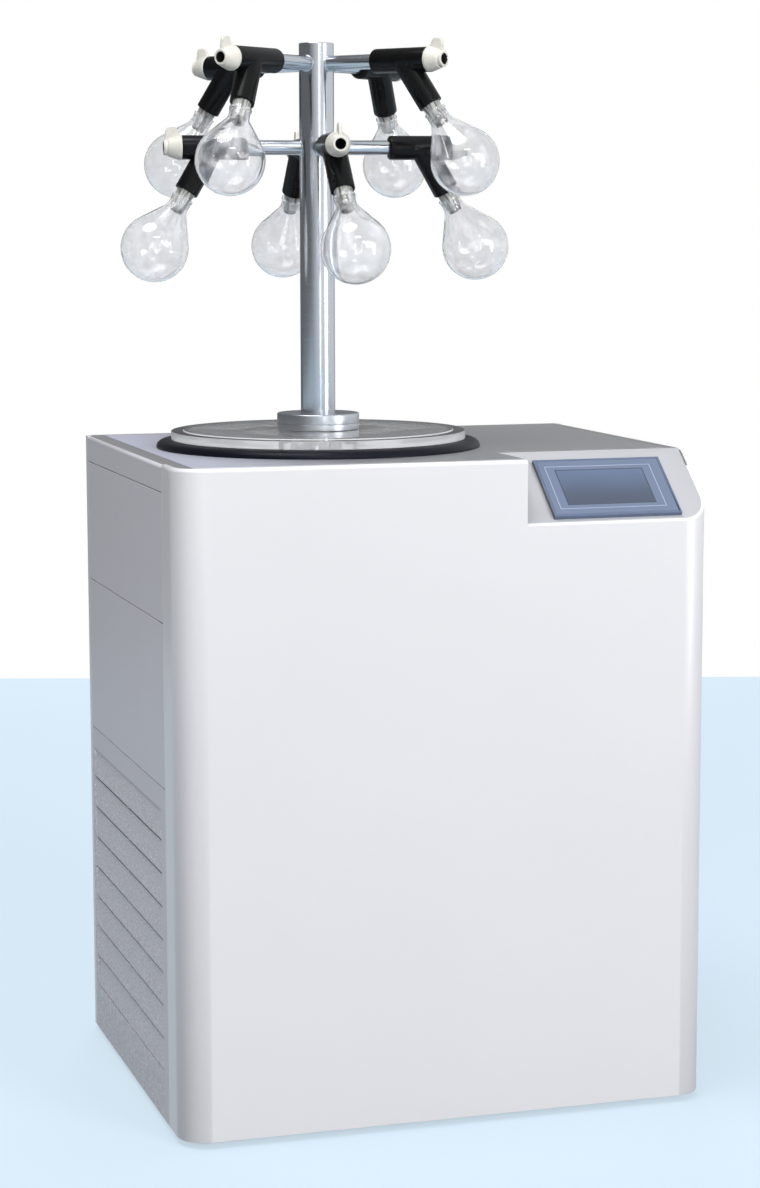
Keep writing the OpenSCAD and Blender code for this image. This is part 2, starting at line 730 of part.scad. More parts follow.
// Rings of tube between two headers; the suction tail runs to the compressor, the other to the condenser
module trap_coil() color([0.72, 0.48, 0.34]) {
    suction_bend = floor_z + compressor_h + 45;
    condenser_pipe_x = fin_x[0] + 27;
    for (i = [0 : coil_rings - 1]) at_trap(coil_z + i * coil_pitch)
        rotate_extrude() translate([coil_r, 0]) circle(coil_tube_r, $fn = 32);
    for (s = [-1, 1]) at_trap(coil_z - 10) translate([s * coil_r, 0, 0])
        cylinder(h = coil_top - coil_z + 20, r = header_r);
    pipe_run([
        [trap_x + coil_r, trap_y, coil_top], [suction_x, trap_y, coil_top],
        [suction_x, trap_y, suction_bend], [compressor_at.x, trap_y, suction_bend],
        [compressor_at.x, trap_y, floor_z + compressor_h + 10]
    ], coil_tube_r);
    pipe_run([
        [trap_x - coil_r, trap_y, coil_z], [condenser_pipe_x, trap_y, coil_z],
        [condenser_pipe_x, trap_y, fin_z[1] + 12]
    ], coil_tube_r);
}

module trap_insulation() color([0.15, 0.15, 0.16]) difference() {
    at_trap(pot_z - foam_bottom) cylinder(h = trap_depth + foam_bottom - sheet - 0.5, r = foam_r);
    at_trap(pot_z) cylinder(h = trap_depth, r = trap_r + sheet + 0.1);
    at_trap(pot_z - foam_bottom - 1) cylinder(h = foam_bottom + 2, r = drain_r + 4);
    translate([trap_x, trap_y, vacuum_z]) rotate([-90, 0, 0]) cylinder(h = foam_r + 10, r = port_r + 0.3);
    coil_tail_holes();
}

// Pipe from the pot's wall to the hose port at the back, with a plate against the back panel
module vacuum_pipe() color([0.75, 0.76, 0.78]) {
    start_y = trap_y + trap_r + 0.5;
    reach = back_y + port_len - start_y;
    translate([trap_x, start_y, vacuum_z]) rotate([-90, 0, 0]) difference() {
        union() {
            cylinder(h = reach, r = port_r);
            translate([0, 0, reach - port_len]) cylinder(h = 3, r = port_r + 12);
        }
        translate([0, 0, -1]) cylinder(h = reach + 2, r = port_r - 1.7);
    }
}

// ---------- refrigeration ----------

module compressor() color([0.08, 0.08, 0.09]) {
    translate([compressor_at.x, compressor_at.y, floor_z]) {
        translate([-90, -90, 8]) cube([180, 180, 4]);
        for (x = [-1, 1], y = [-1, 1]) translate([x * 75, y * 75, 0]) cylinder(h = 8, r = 14);
        rotate_extrude() {
            translate([0, 12]) square([compressor_r, compressor_h - 52]);
            intersection() {
                translate([compressor_r - 40, compressor_h - 40]) circle(40);
                translate([0, 40]) square([compressor_r + 1, compressor_h]);
            }
            translate([0, 40]) square([compressor_r - 40, compressor_h - 40]);
        }
        translate([0, trap_y - compressor_at.y, compressor_h - 2]) cylinder(h = 12, r = 9);
    }
    pipe_run([
        [compressor_at.x, compressor_at.y + compressor_r - 5, 80], [compressor_at.x, fin_y[1] + 25, 80],
        [fin_x[0] + 27, fin_y[1] + 25, 80], [fin_x[0] + 27, fin_y[1] + 1, 80]
    ], 5);
}

module condenser() color([0.45, 0.46, 0.48]) {
    fins = floor((fin_y[1] - fin_y[0]) / fin_pitch);
    deep = fin_x[1] - fin_x[0];
    translate([fin_x[0], fin_y[0], fin_z[0]]) linear_extrude(fin_z[1] - fin_z[0]) {
        for (i = [1 : fins - 1]) translate([0, i * fin_pitch]) square([deep, 1]);
        translate([deep / 2 - 1, 0]) square([2, fin_y[1] - fin_y[0]]);
    }
    for (y = [fin_y[0] - 2, fin_y[1] - 1])
        translate([fin_x[0], y, floor_z]) cube([deep, 2, fin_z[1] - floor_z + 4]);
    for (z = [fin_z[0] - 2, fin_z[1] - 1])
        translate([fin_x[0], fin_y[0] - 2, z]) cube([deep, fin_y[1] - fin_y[0] + 3, 2]);
    translate([fin_x[0] + 27, trap_y, fin_z[1]]) cylinder(h = 12, r = 9);
}

module fan_place(x) translate([x, fan_at.x, fan_at.y]) rotate([0, 90, 0]) children();

// Shroud, motor and the struts that carry it
module fan_housing() color([0.30, 0.31, 0.33]) {
    difference() {
        union() {
            translate([fin_x[1] + 0.5, fan_at.x - 200, floor_z]) cube([3, 400, fin_z[1] - floor_z]);
            fan_place(fin_x[1] + 0.5) cylinder(h = strut_x[1] - fin_x[1] - 0.5, r = shroud_r + 3);
        }
        fan_place(fin_x[1] - 1) cylinder(h = strut_x[1] - fin_x[1] + 2, r = shroud_r);
    }
    for (a = [0, 90]) fan_place(strut_x[0]) rotate([0, 0, a + 45])
        translate([-shroud_r - 1, -7, 0]) cube([2 * shroud_r + 2, 14, strut_x[1] - strut_x[0]]);
    fan_place(strut_x[0]) cylinder(h = 78, r = motor_r);
    fan_place(fan_x[0] + 6) cylinder(h = strut_x[0] - fan_x[0] - 5, r = shaft_r);
}

module fan_rotor() color([0.16, 0.17, 0.18]) difference() {
    union() {
        fan_place(fan_x[0]) cylinder(h = fan_x[1] - fan_x[0], r = 38);
        intersection() {
            fan_place(fan_x[0]) cylinder(h = fan_x[1] - fan_x[0], r = fan_r);
            for (i = [0 : 4]) fan_place((fan_x[0] + fan_x[1]) / 2)
                rotate([0, 0, 72 * i]) rotate([28, 0, 0]) translate([30, -32, -1.5]) cube([fan_r, 64, 3]);
        }
    }
    fan_place(fan_x[0] + 5) cylinder(h = 60, r = shaft_r + 0.05);
}

module control_box() color([0.80, 0.81, 0.80]) {
    y1 = back_y - sheet - rail_w;
    translate([165, y1 - 180, 640]) cube([225, 180, 260]);
    translate([160, y1 - 184, 635]) cube([235, 6, 270]);
}

// ---------- services at the back ----------

// A round length of the drain's horizontal run
module drain_run(from_y, to_y, r)
    translate([trap_x, from_y, drain_z]) rotate([-90, 0, 0]) cylinder(h = to_y - from_y, r = r);

// Drain pipe from the pot, through the back panel to a ball valve with a spout
module drain_valve() color([0.78, 0.70, 0.45]) difference() {
    union() {
        at_trap(drain_z) cylinder(h = pot_z - 20 - drain_z, r = drain_r + 2);
        at_trap(drain_z) sphere(drain_r + 2);
        drain_run(trap_y, valve_box_y[0] + 1, drain_r);
        drain_run(valve_box_y[0], valve_box_y[1], 13);
        drain_run(valve_box_y[1] - 1, valve_box_y[1] + spout_len, 6);
        translate([trap_x, stem_y, drain_z]) {
            cylinder(h = stem_z, r = 8);
            cylinder(h = lever_z + 8, r = 4);
            translate([0, 0, lever_z + lever_t + 0.3]) hex(11, 4);
        }
    }
    at_trap(drain_z + 20) cylinder(h = pot_z - drain_z, r = drain_r + 0.1);
    drain_run(valve_box_y[1] - 10, valve_box_y[1] + 30, 4);
}

module drain_lever() color([0.75, 0.12, 0.10])
    translate([trap_x, stem_y, drain_z + lever_z]) difference() {
        union() {
            cylinder(h = lever_t, r = 10);
            translate([0, -7, 0]) cube([62, 14, lever_t]);
            translate([62, 0, 0]) cylinder(h = lever_t, r = 7);
        }
        translate([0, 0, -1]) cylinder(h = 6, r = 4.05);
    }

// Frame of the inlet module: x to the right and y up on the back face, z out of it
module inlet_place() translate([inlet_at.x, back_y, inlet_at.y]) rotate([90, 0, 180]) children();

module power_inlet() color([0.07, 0.07, 0.08]) inlet_place() {
    difference() {
        union() {
            translate([-32, -17, 0]) cube([64, 34, 3]);
            translate([-27.5, -13, -30]) cube([55, 26, 31]);
        }
        translate([-24, -9, -16]) cube([26, 18, 20]);
        translate([rocker_x - 9, -11, -9]) cube([18, 22, 20]);
        translate([rocker_x - 10.5, 0, 0]) rotate([0, 90, 0]) cylinder(h = 21, r = rocker_pin_r + 0.06);
    }
    for (x = [-17, -11, -5]) translate([x - 1, x == -11 ? -1 : -4, -18]) cube([2, 5, 14]);
}

// Rocker that tips about its middle; it rests tipped to off
module switch_rocker() color([0.75, 0.10, 0.10]) inlet_place() translate([rocker_x, 0, 0])
    rotate([rocker_tilt, 0, 0]) rotate([0, -90, 0]) {
        translate([0, 0, -8]) linear_extrude(16) polygon([
            [-4, -7], [0.5, -10], [5, -10], [3.2, 0], [5, 10], [0.5, 10], [-4, 7]
        ]);
        translate([0, 0, -10]) cylinder(h = 20, r = rocker_pin_r);
    }

base_frame();
front_panel();
back_panel();
top_cover();
top_plate();
left_upper_panel();
left_middle_panel();
left_vent_panel();
right_upper_panel();
right_middle_panel();
right_vent_panel();
console_panel();
screen_bezel();
screen_glass();
panel_screws();
levelling_feet();
lid_gasket();
lid_disc();
manifold_collar();
collar_nut();
collar_bolts();
manifold_tube();
valve_body_1();
valve_body_2();
valve_body_3();
valve_body_4();
valve_body_5();
valve_body_6();
valve_body_7();
valve_body_8();
valve_core_1();
valve_core_2();
valve_core_3();
valve_core_4();
valve_core_5();
valve_core_6();
valve_core_7();
valve_core_8();
flask_1();
flask_2();
flask_3();
flask_4();
flask_5();
flask_6();
flask_7();
flask_8();
flask_adapters();
trap_pot();
trap_coil();
trap_insulation();
compressor();
condenser();
fan_housing();
fan_rotor();
control_box();
vacuum_pipe();
drain_valve();
drain_lever();
power_inlet();
switch_rocker();
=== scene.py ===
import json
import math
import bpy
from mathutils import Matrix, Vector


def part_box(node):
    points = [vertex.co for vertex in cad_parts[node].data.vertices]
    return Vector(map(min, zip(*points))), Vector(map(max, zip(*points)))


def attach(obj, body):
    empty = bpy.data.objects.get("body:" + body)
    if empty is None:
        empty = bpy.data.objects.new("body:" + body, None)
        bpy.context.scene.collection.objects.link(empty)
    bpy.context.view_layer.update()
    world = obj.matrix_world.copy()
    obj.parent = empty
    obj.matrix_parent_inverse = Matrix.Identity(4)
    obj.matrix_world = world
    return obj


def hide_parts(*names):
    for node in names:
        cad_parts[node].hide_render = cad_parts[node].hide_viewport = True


bl_info = {
    "name": "Laboratory freeze dryer",
    "version": (1, 0, 0),
    "blender": (4, 5, 0),
    "location": "3D View > Sidebar > Freeze dryer",
    "description": "Dresses a packed freeze dryer: cabinet, cold trap, lid, steel tree, valves, flasks",
    "category": "Object",
}

import bmesh
import bpy
from mathutils import Matrix, Vector

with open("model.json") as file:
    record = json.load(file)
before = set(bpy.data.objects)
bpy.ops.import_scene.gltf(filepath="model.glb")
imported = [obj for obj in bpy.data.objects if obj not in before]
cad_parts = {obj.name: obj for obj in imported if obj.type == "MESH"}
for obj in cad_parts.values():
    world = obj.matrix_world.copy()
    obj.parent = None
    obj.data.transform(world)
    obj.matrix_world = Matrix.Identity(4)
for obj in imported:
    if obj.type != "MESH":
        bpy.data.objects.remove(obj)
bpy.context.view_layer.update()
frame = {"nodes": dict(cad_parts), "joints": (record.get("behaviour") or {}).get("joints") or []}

UP = Vector((0, 0, 1))
FLASKS = range(1, 9)
UPPER_FLASKS = range(5, 9)
# Turns a piece's z outwards along an arm
OUTWARD = Matrix.Rotation(math.pi / 2, 4, "Y")
# Outer radius of an arm, and its end's distance from the tree's axis
ARM_RADIUS = 0.0115
ARM_END = 0.150


# ---------- places taken from the frame ----------


def middle(node):
    """Centre of a CAD node's box."""
    low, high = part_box(node)
    return (low + high) / 2


def joint(name):
    """The record's joint of that name."""
    return next(j for j in frame["joints"] if j["name"] == name)


def arm_frame(number):
    """Frame of an arm: the origin on the tree's axis, x outwards along the arm, z up."""
    hinge = joint(f"valve_{number}")
    outward = Vector(hinge["axis"])
    turn = Matrix((outward, UP.cross(outward), UP)).transposed()
    return Matrix.Translation(hinge["pos_m"]) @ turn.to_4x4()


def leg_lean(number):
    """Sideways lean of a leg."""
    valve = bpy.context.scene.dryer_valves
    return valve.upper_lean if number in UPPER_FLASKS else valve.lower_lean


def leg_turn(lean):
    """How a leg stands in its arm's frame, with z down the leg."""
    valve = bpy.context.scene.dryer_valves
    return (
        Matrix.Translation((valve.leg_root, 0, 0))
        @ Matrix.Rotation(lean, 4, "X")
        @ Matrix.Rotation(math.pi - valve.leg_tilt, 4, "Y")
    )


def leg_frame(number):
    """Frame of a leg: the origin at the leg's end, z on down the leg."""
    end = Matrix.Translation((0, 0, bpy.context.scene.dryer_valves.leg_length))
    return arm_frame(number) @ leg_turn(leg_lean(number)) @ end


# ---------- shader maths ----------


class Value:
    """A shader socket in Python arithmetic: each operation adds a Math node."""

    def __init__(self, finish, socket):
        self.finish = finish
        self.socket = socket

    def math(self, operation, *terms):
        return self.finish.node("ShaderNodeMath", {"operation": operation}, *terms)

    def __add__(self, other):
        return self.math("ADD", self, other)

    __radd__ = __add__

    def __sub__(self, other):
        return self.math("SUBTRACT", self, other)

    def __rsub__(self, other):
        return self.math("SUBTRACT", other, self)

    def __mul__(self, other):
        return self.math("MULTIPLY", self, other)

    __rmul__ = __mul__

    def __pow__(self, other):
        return self.math("POWER", self, other)

    def __abs__(self):
        return self.math("ABSOLUTE", self)

    def __gt__(self, other):
        return self.math("GREATER_THAN", self, other)

    def __lt__(self, other):
        return self.math("LESS_THAN", self, other)

    def rising(self, low, high):
        """0 below low, 1 above high and smooth between them."""
        return self.finish.node(
            "ShaderNodeMapRange", {"interpolation_type": "SMOOTHSTEP"}, self, low, high
        )


class Finish:
    """A material in the making: one Principled shader and the nodes that feed it."""

    def __init__(self, name, **constants):
        self.material = bpy.data.materials.new(name)
        self.material.use_nodes = True
        self.tree = self.material.node_tree
        self.shader = self.tree.nodes["Principled BSDF"]
        for words, value in constants.items():
            self.shader.inputs[words.replace("_", " ").title().replace("Ior", "IOR")].default_value = value

    def node(self, kind, settings, *values, output=0, **named):
        """Adds any node: its settings first, then the values or links of its sockets."""
        made = self.tree.nodes.new(kind)
        for key, setting in settings.items():
            setattr(made, key, setting)
        for place, value in list(enumerate(values)) + list(named.items()):
            self.feed(made.inputs[place], value)
        return Value(self, made.outputs[output])

    def feed(self, socket, value):
        """Links a Value to a socket, or sets the socket to a number or colour."""
        if isinstance(value, Value):
            self.tree.links.new(value.socket, socket)
        elif isinstance(value, (tuple, Vector)) and socket.type == "RGBA":
            socket.default_value = (*value, 1)
        else:
            socket.default_value = value

    def set(self, name, value):
        self.feed(self.shader.inputs[name], value)

    def place(self):
        """Place on the piece in metres, in the piece's own frame."""
        return self.node("ShaderNodeTexCoord", {}, output="Object")

    def axis(self, name, vector=None):
        """One part of a vector, by default of the place."""
        return self.node("ShaderNodeSeparateXYZ", {}, vector or self.place(), output=name)

    def from_axis(self, first, second):
        """Distance from the axis that is square to the two axes named."""
        return (self.axis(first) ** 2 + self.axis(second) ** 2) ** 0.5

    def facing(self, name):
        """How far the surface faces along an axis, from -1 to 1."""
        return self.axis(name, self.node("ShaderNodeNewGeometry", {}, output="Normal"))

    def stretched(self, scale, vector=None):
        """A vector scaled apart along its axes, by default the place."""
        return self.node("ShaderNodeVectorMath", {"operation": "MULTIPLY"}, vector or self.place(), scale)

    def noise(self, scale, vector=None, detail=2.0, roughness=0.5):
        """Soft noise from 0 to 1, with features of about 1/scale metres."""
        return self.node(
            "ShaderNodeTexNoise", {}, output=0,
            Vector=vector or self.place(), Scale=scale, Detail=detail, Roughness=roughness,
        )

    def mixed(self, share, first, second):
        """A colour between two colours."""
        made = self.tree.nodes.new("ShaderNodeMix")
        made.data_type = "RGBA"
        for place, value in ((0, share), (6, first), (7, second)):
            self.feed(made.inputs[place], value)
        return Value(self, made.outputs[2])

    def paint_over(self, share, other, under=False):
        """Mixes the base colour so far with another; under=True shows the other where share is 0."""
        painted = Value(self, self.shader.inputs["Base Color"].links[0].from_socket)
        pair = (other, painted) if under else (painted, other)
        self.set("Base Color", self.mixed(share, *pair))

    def cover(self, share, other):
        """Lays another shader over what the material shows so far."""
        surface = self.tree.nodes["Material Output"].inputs["Surface"]
        shown = Value(self, surface.links[0].from_socket)
        self.feed(surface, self.node("ShaderNodeMixShader", {}, share, shown, other))

    def bump(self, height, distance):
        """Relief of that height, with distance in metres for a height of 1."""
        self.set("Normal", self.node("ShaderNodeBump", {}, Strength=1.0, Distance=distance, Height=height))


def shade(colour, share):
    """A colour made darker or lighter by a factor, up to white."""
    return tuple(min(1.0, c * share) for c in colour)


# ---------- finishes ----------


def powder_coat(name, colour, roughness=0.42, peel=0.00002, coat=0.0):
    """Baked powder coat: fine orange peel, and a faint unevenness in tone and gloss."""
    finish = Finish(name, coat_weight=coat, coat_roughness=0.2)
    cloud = finish.noise(3.5, detail=3.0)
    finish.set("Base Color", finish.mixed(cloud, shade(colour, 0.975), shade(colour, 1.015)))
    finish.set("Roughness", roughness - 0.05 + 0.1 * finish.noise(24.0))
    finish.bump(finish.noise(650.0, detail=1.0), peel)
    return finish


def brushed(name, colour, grain, roughness=0.3, contrast=0.1, depth=0.000004):
    """Brushed steel: grain is the scale of the brush lines along x, y and z."""
    finish = Finish(name, metallic=1.0)
    lines = finish.noise(1.0, finish.stretched(grain), detail=4.0, roughness=0.65)
    tone = 0.7 * lines + 0.3 * finish.noise(9.0)
    finish.set("Base Color", finish.mixed(tone, shade(colour, 1 - contrast), shade(colour, 1 + contrast)))
    finish.set("Roughness", roughness - 0.08 + 0.16 * lines)
    finish.bump(lines, depth)
    return finish


def rubber(name, colour, roughness=0.35, gloss=0.5):
    """Moulded black rubber: a soft sheen with dusty, slightly duller patches."""
    finish = Finish(name, specular_ior_level=gloss)
    dust = finish.noise(60.0, detail=4.0)
    finish.set("Base Color", finish.mixed(dust, colour, tuple(1.6 * c + 0.002 for c in colour)))
    finish.set("Roughness", roughness + 0.15 * dust)
    finish.bump(finish.noise(900.0), 0.000015)
    return finish


def moulded(name, colour, roughness=0.4, grain=0.00001):
    """Moulded plastic with a fine grain and faint flow marks."""
    finish = Finish(name)
    flow = finish.noise(40.0, detail=3.0)
    finish.set("Base Color", finish.mixed(flow, colour, shade(colour, 0.93)))
    finish.set("Roughness", roughness + 0.08 * flow)
    finish.bump(finish.noise(1400.0), grain)
    return finish


def bare_metal(name, colour, roughness=0.35):
    """Plain machined or drawn metal with small stains."""
    finish = Finish(name, metallic=1.0)
    stain = finish.noise(70.0, detail=4.0)
    finish.set("Base Color", finish.mixed(stain, colour, shade(colour, 0.8)))
    finish.set("Roughness", roughness + 0.15 * stain)
    finish.bump(finish.noise(500.0), 0.00001)
    return finish


def clear_glass(name, tint, ior=1.47):
    """Clear glass or acrylic that lets the lamps through, with a faint unevenness in its gloss."""
    finish = Finish(name, base_color=(*tint, 1), transmission_weight=1.0, ior=ior)
    finish.set("Roughness", 0.02 * finish.noise(30.0))
    lamp_ray = finish.node("ShaderNodeLightPath", {}, output="Is Shadow Ray")
    finish.cover(lamp_ray, finish.node("ShaderNodeBsdfTransparent", {}, tint))
    return finish


# ---------- meshes ----------


def rounded(points):
    """An outline whose corners (x, y, radius) become arcs; a point without a radius stays sharp."""
    arc_step = 14
    outline = []
    for index, point in enumerate(points):
        here = Vector(point[:2])
        if len(point) < 3:
            outline.append(here)
            continue
        before = (Vector(points[index - 1][:2]) - here).normalized()
        after = (Vector(points[(index + 1) % len(points)][:2]) - here).normalized()
        half = before.angle(after) / 2
        reach = point[2] / math.tan(half)
        centre = here + (before + after).normalized() * (point[2] / math.sin(half))
        start, end = here + before * reach - centre, here + after * reach - centre
        steps = max(2, round(math.degrees(start.angle(end)) / arc_step))
        for step in range(steps + 1):
            outline.append(centre + start.slerp(end, step / steps).normalized() * point[2])
    return outline


def lathe_mesh(name, outline, segments=96):
    """Turns a closed outline of (radius, height) in metres about z."""
    on_axis = 1e-7
    turns = [2 * math.pi * k / segments for k in range(segments)]
    shape = bmesh.new()
    rings = []
    for radius, height in outline:
        if radius < on_axis:
            rings.append([shape.verts.new((0, 0, height))] * segments)
        else:
            around = [(radius * math.cos(t), radius * math.sin(t), height) for t in turns]
            rings.append([shape.verts.new(point) for point in around])
    for first, second in zip(rings, rings[1:] + rings[:1]):
        for k in range(segments):
            corners = [first[k], first[(k + 1) % segments], second[(k + 1) % segments], second[k]]
            corners = list(dict.fromkeys(corners))
            if len(corners) > 2:
                shape.faces.new(corners)
    bmesh.ops.recalc_face_normals(shape, faces=shape.faces)
    return bake(shape, name)


def bake(shape, name):
    """Turns a bmesh into a mesh."""
    mesh = bpy.data.meshes.new(name)
    shape.to_mesh(mesh)
    shape.free()
    return mesh


def smooth(mesh, angle=35):
    """Smooth shading, with edges sharper than angle degrees left crisp."""
    mesh.polygons.foreach_set("use_smooth", [True] * len(mesh.polygons))
    mesh.set_sharp_from_angle(angle=math.radians(angle))


def piece(name, mesh, body, finish, nodes=(), matrix=None):
    """Adds a piece that rides on a body, and stands for the nodes that it replaces."""
    made = bpy.data.objects.new(name, mesh)
    bpy.context.scene.collection.objects.link(made)
    made.matrix_world = matrix or Matrix.Identity(4)
    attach(made, body)
    if not made.data.materials:
        made.data.materials.append(finish.material)
    if nodes:
        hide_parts(*nodes)
    return made


def settled(made):
    """Applies a piece's modifiers to its mesh."""
    bpy.context.view_layer.update()
    graph = bpy.context.evaluated_depsgraph_get()
    mesh = bpy.data.meshes.new_from_object(made.evaluated_get(graph))
    old = made.data
    made.modifiers.clear()
    made.data = mesh
    if not old.users:
        bpy.data.meshes.remove(old)


def scratch(mesh, matrix=None):
    """A helper object that is used up by combined()."""
    made = bpy.data.objects.new("scratch", mesh)
    bpy.context.scene.collection.objects.link(made)
    made.matrix_world = matrix or Matrix.Identity(4)
    return made


def combined(base, others, operation):
    """The mesh of base joined with, or cut by, other helper objects, which are then removed."""
    for other in others:
        step = base.modifiers.new("step", "BOOLEAN")
        step.operation = operation
        step.solver = "EXACT"
        step.object = other
        settled(base)
        bpy.data.objects.remove(other)
    mesh = base.data
    mesh.transform(base.matrix_world)
    bpy.data.objects.remove(base)
    return mesh


def ease(made, width, segments=2):
    """Small bevels on the sharp edges of a CAD node: equal points welded, flat faces made whole."""
    weld_reach, flat, sharp = 0.00002, 0.4, 32
    weld = made.modifiers.new("weld", "WELD")
    weld.merge_threshold = weld_reach
    whole = made.modifiers.new("whole_faces", "DECIMATE")
    whole.decimate_type = "DISSOLVE"
    whole.angle_limit = math.radians(flat)
    bevel = made.modifiers.new("eased_edges", "BEVEL")
    bevel.width = width
    bevel.segments = segments
    bevel.limit_method = "ANGLE"
    bevel.angle_limit = math.radians(sharp)
    bevel.harden_normals = True
    bevel.miter_outer = "MITER_ARC"


def dress(node, finish, edge=0.0, **bevel):
    """Gives a CAD node its finish and, where edge is set, eased edges of that width."""
    made = frame["nodes"][node]
    made.data.materials.clear()
    made.data.materials.append(finish.material)
    if edge:
        ease(made, edge, **bevel)


# ---------- settings ----------


def length(name, description, default):
    return bpy.props.FloatProperty(
        name=name, description=description, default=default, unit="LENGTH", precision=4
    )


def angle(name, description, degrees):
    return bpy.props.FloatProperty(
        name=name, description=description, default=math.radians(degrees), subtype="ANGLE"
    )


def colour(name, description, default):
    return bpy.props.FloatVectorProperty(
        name=name, description=description, default=default, size=3, min=0, max=1, subtype="COLOR"
    )


class DryerCabinet(bpy.types.PropertyGroup):
    front: colour("Front paint", "Off-white powder coat of the front and back", (0.845, 0.835, 0.86))
    # Painted shade, in part: the side colour is set a little darker than the front, though front and sides
    # are one off-white paint; the rest of the sides' grey comes from the lamps.
    sides: colour("Side paint", "Powder coat of the side panels", (0.77, 0.755, 0.80))
    border: colour("Border paint", "Darker border of the top beside the worktop", (0.24, 0.24, 0.245))
    console: colour("Console paint", "Light grey of the sloping console", (0.50, 0.505, 0.53))
    edge: length("Sheet edge", "Rounding of the edges of sheet panels", 0.0007)


class DryerScreen(bpy.types.PropertyGroup):
    frame: colour("Frame", "Blue-grey frame of the screen", (0.12, 0.16, 0.26))
    display: colour("Display", "Darker middle of the screen", (0.035, 0.055, 0.10))
    line: colour("Line", "Thin pale line around the display", (0.36, 0.42, 0.56))


class DryerValves(bpy.types.PropertyGroup):
    radius: length("Body radius", "Outer radius of a rubber valve body", 0.019)
    start: length("Body start", "Distance from the tree's axis to the body's inner end", 0.112)
    second_out: length("Valve 2 out", "How much further out valve 2 sits on its arm", 0.002)
    left_in: length("Left valves in", "How much further in the two valves on the left sit", 0.008)
    end: length("Body end", "Distance from the tree's axis to the body's outer end", 0.2137)
    leg_root: length("Leg root", "Distance from the tree's axis to the leg, on the arm's axis", 0.1677)
    leg_length: length("Leg length", "Length of a leg from the arm's axis", 0.0804)
    leg_tilt: angle("Leg tilt", "Angle of a leg from straight down, outwards", 30.4)
    lower_lean: angle("Lower lean", "Sideways lean of the lower legs", 7.0)
    upper_lean: angle("Upper lean", "Sideways lean of the upper legs", 11.4)
    cap: length("Cap length", "Length of the cream vent cap", 0.0283)


class DryerFlasks(bpy.types.PropertyGroup):
    bulb: length("Bulb radius", "Outer radius of a flask's bulb", 0.053)
    drop: length("Bulb drop", "Distance from the leg's end to the bulb's centre", 0.1016)
    wall: length("Wall", "Thickness of the glass", 0.002)
    neck: length("Neck radius", "Outer radius of a flask's neck", 0.0162)


class DryerStage(bpy.types.PropertyGroup):
    lens: bpy.props.FloatProperty(name="Lens", description="Focal length of the camera", default=83.54)
    distance: length("Eye distance", "How far the camera stands in front of the origin", 4.2794)
    aside: length("Eye aside", "How far the camera stands to the left of the origin", 1.3141)
    height: length("Eye height", "Height of the camera above the floor", 1.3935)
    yaw: angle("Yaw", "Turn of the camera to the right", 17.084)
    pitch: angle("Pitch", "How far the camera looks down", 7.8)
    roll: angle("Roll", "Tilt of the camera about its own axis", -0.123)
    floor: colour("Floor", "Pale floor", (0.72, 0.86, 0.97))


# ---------- operators ----------


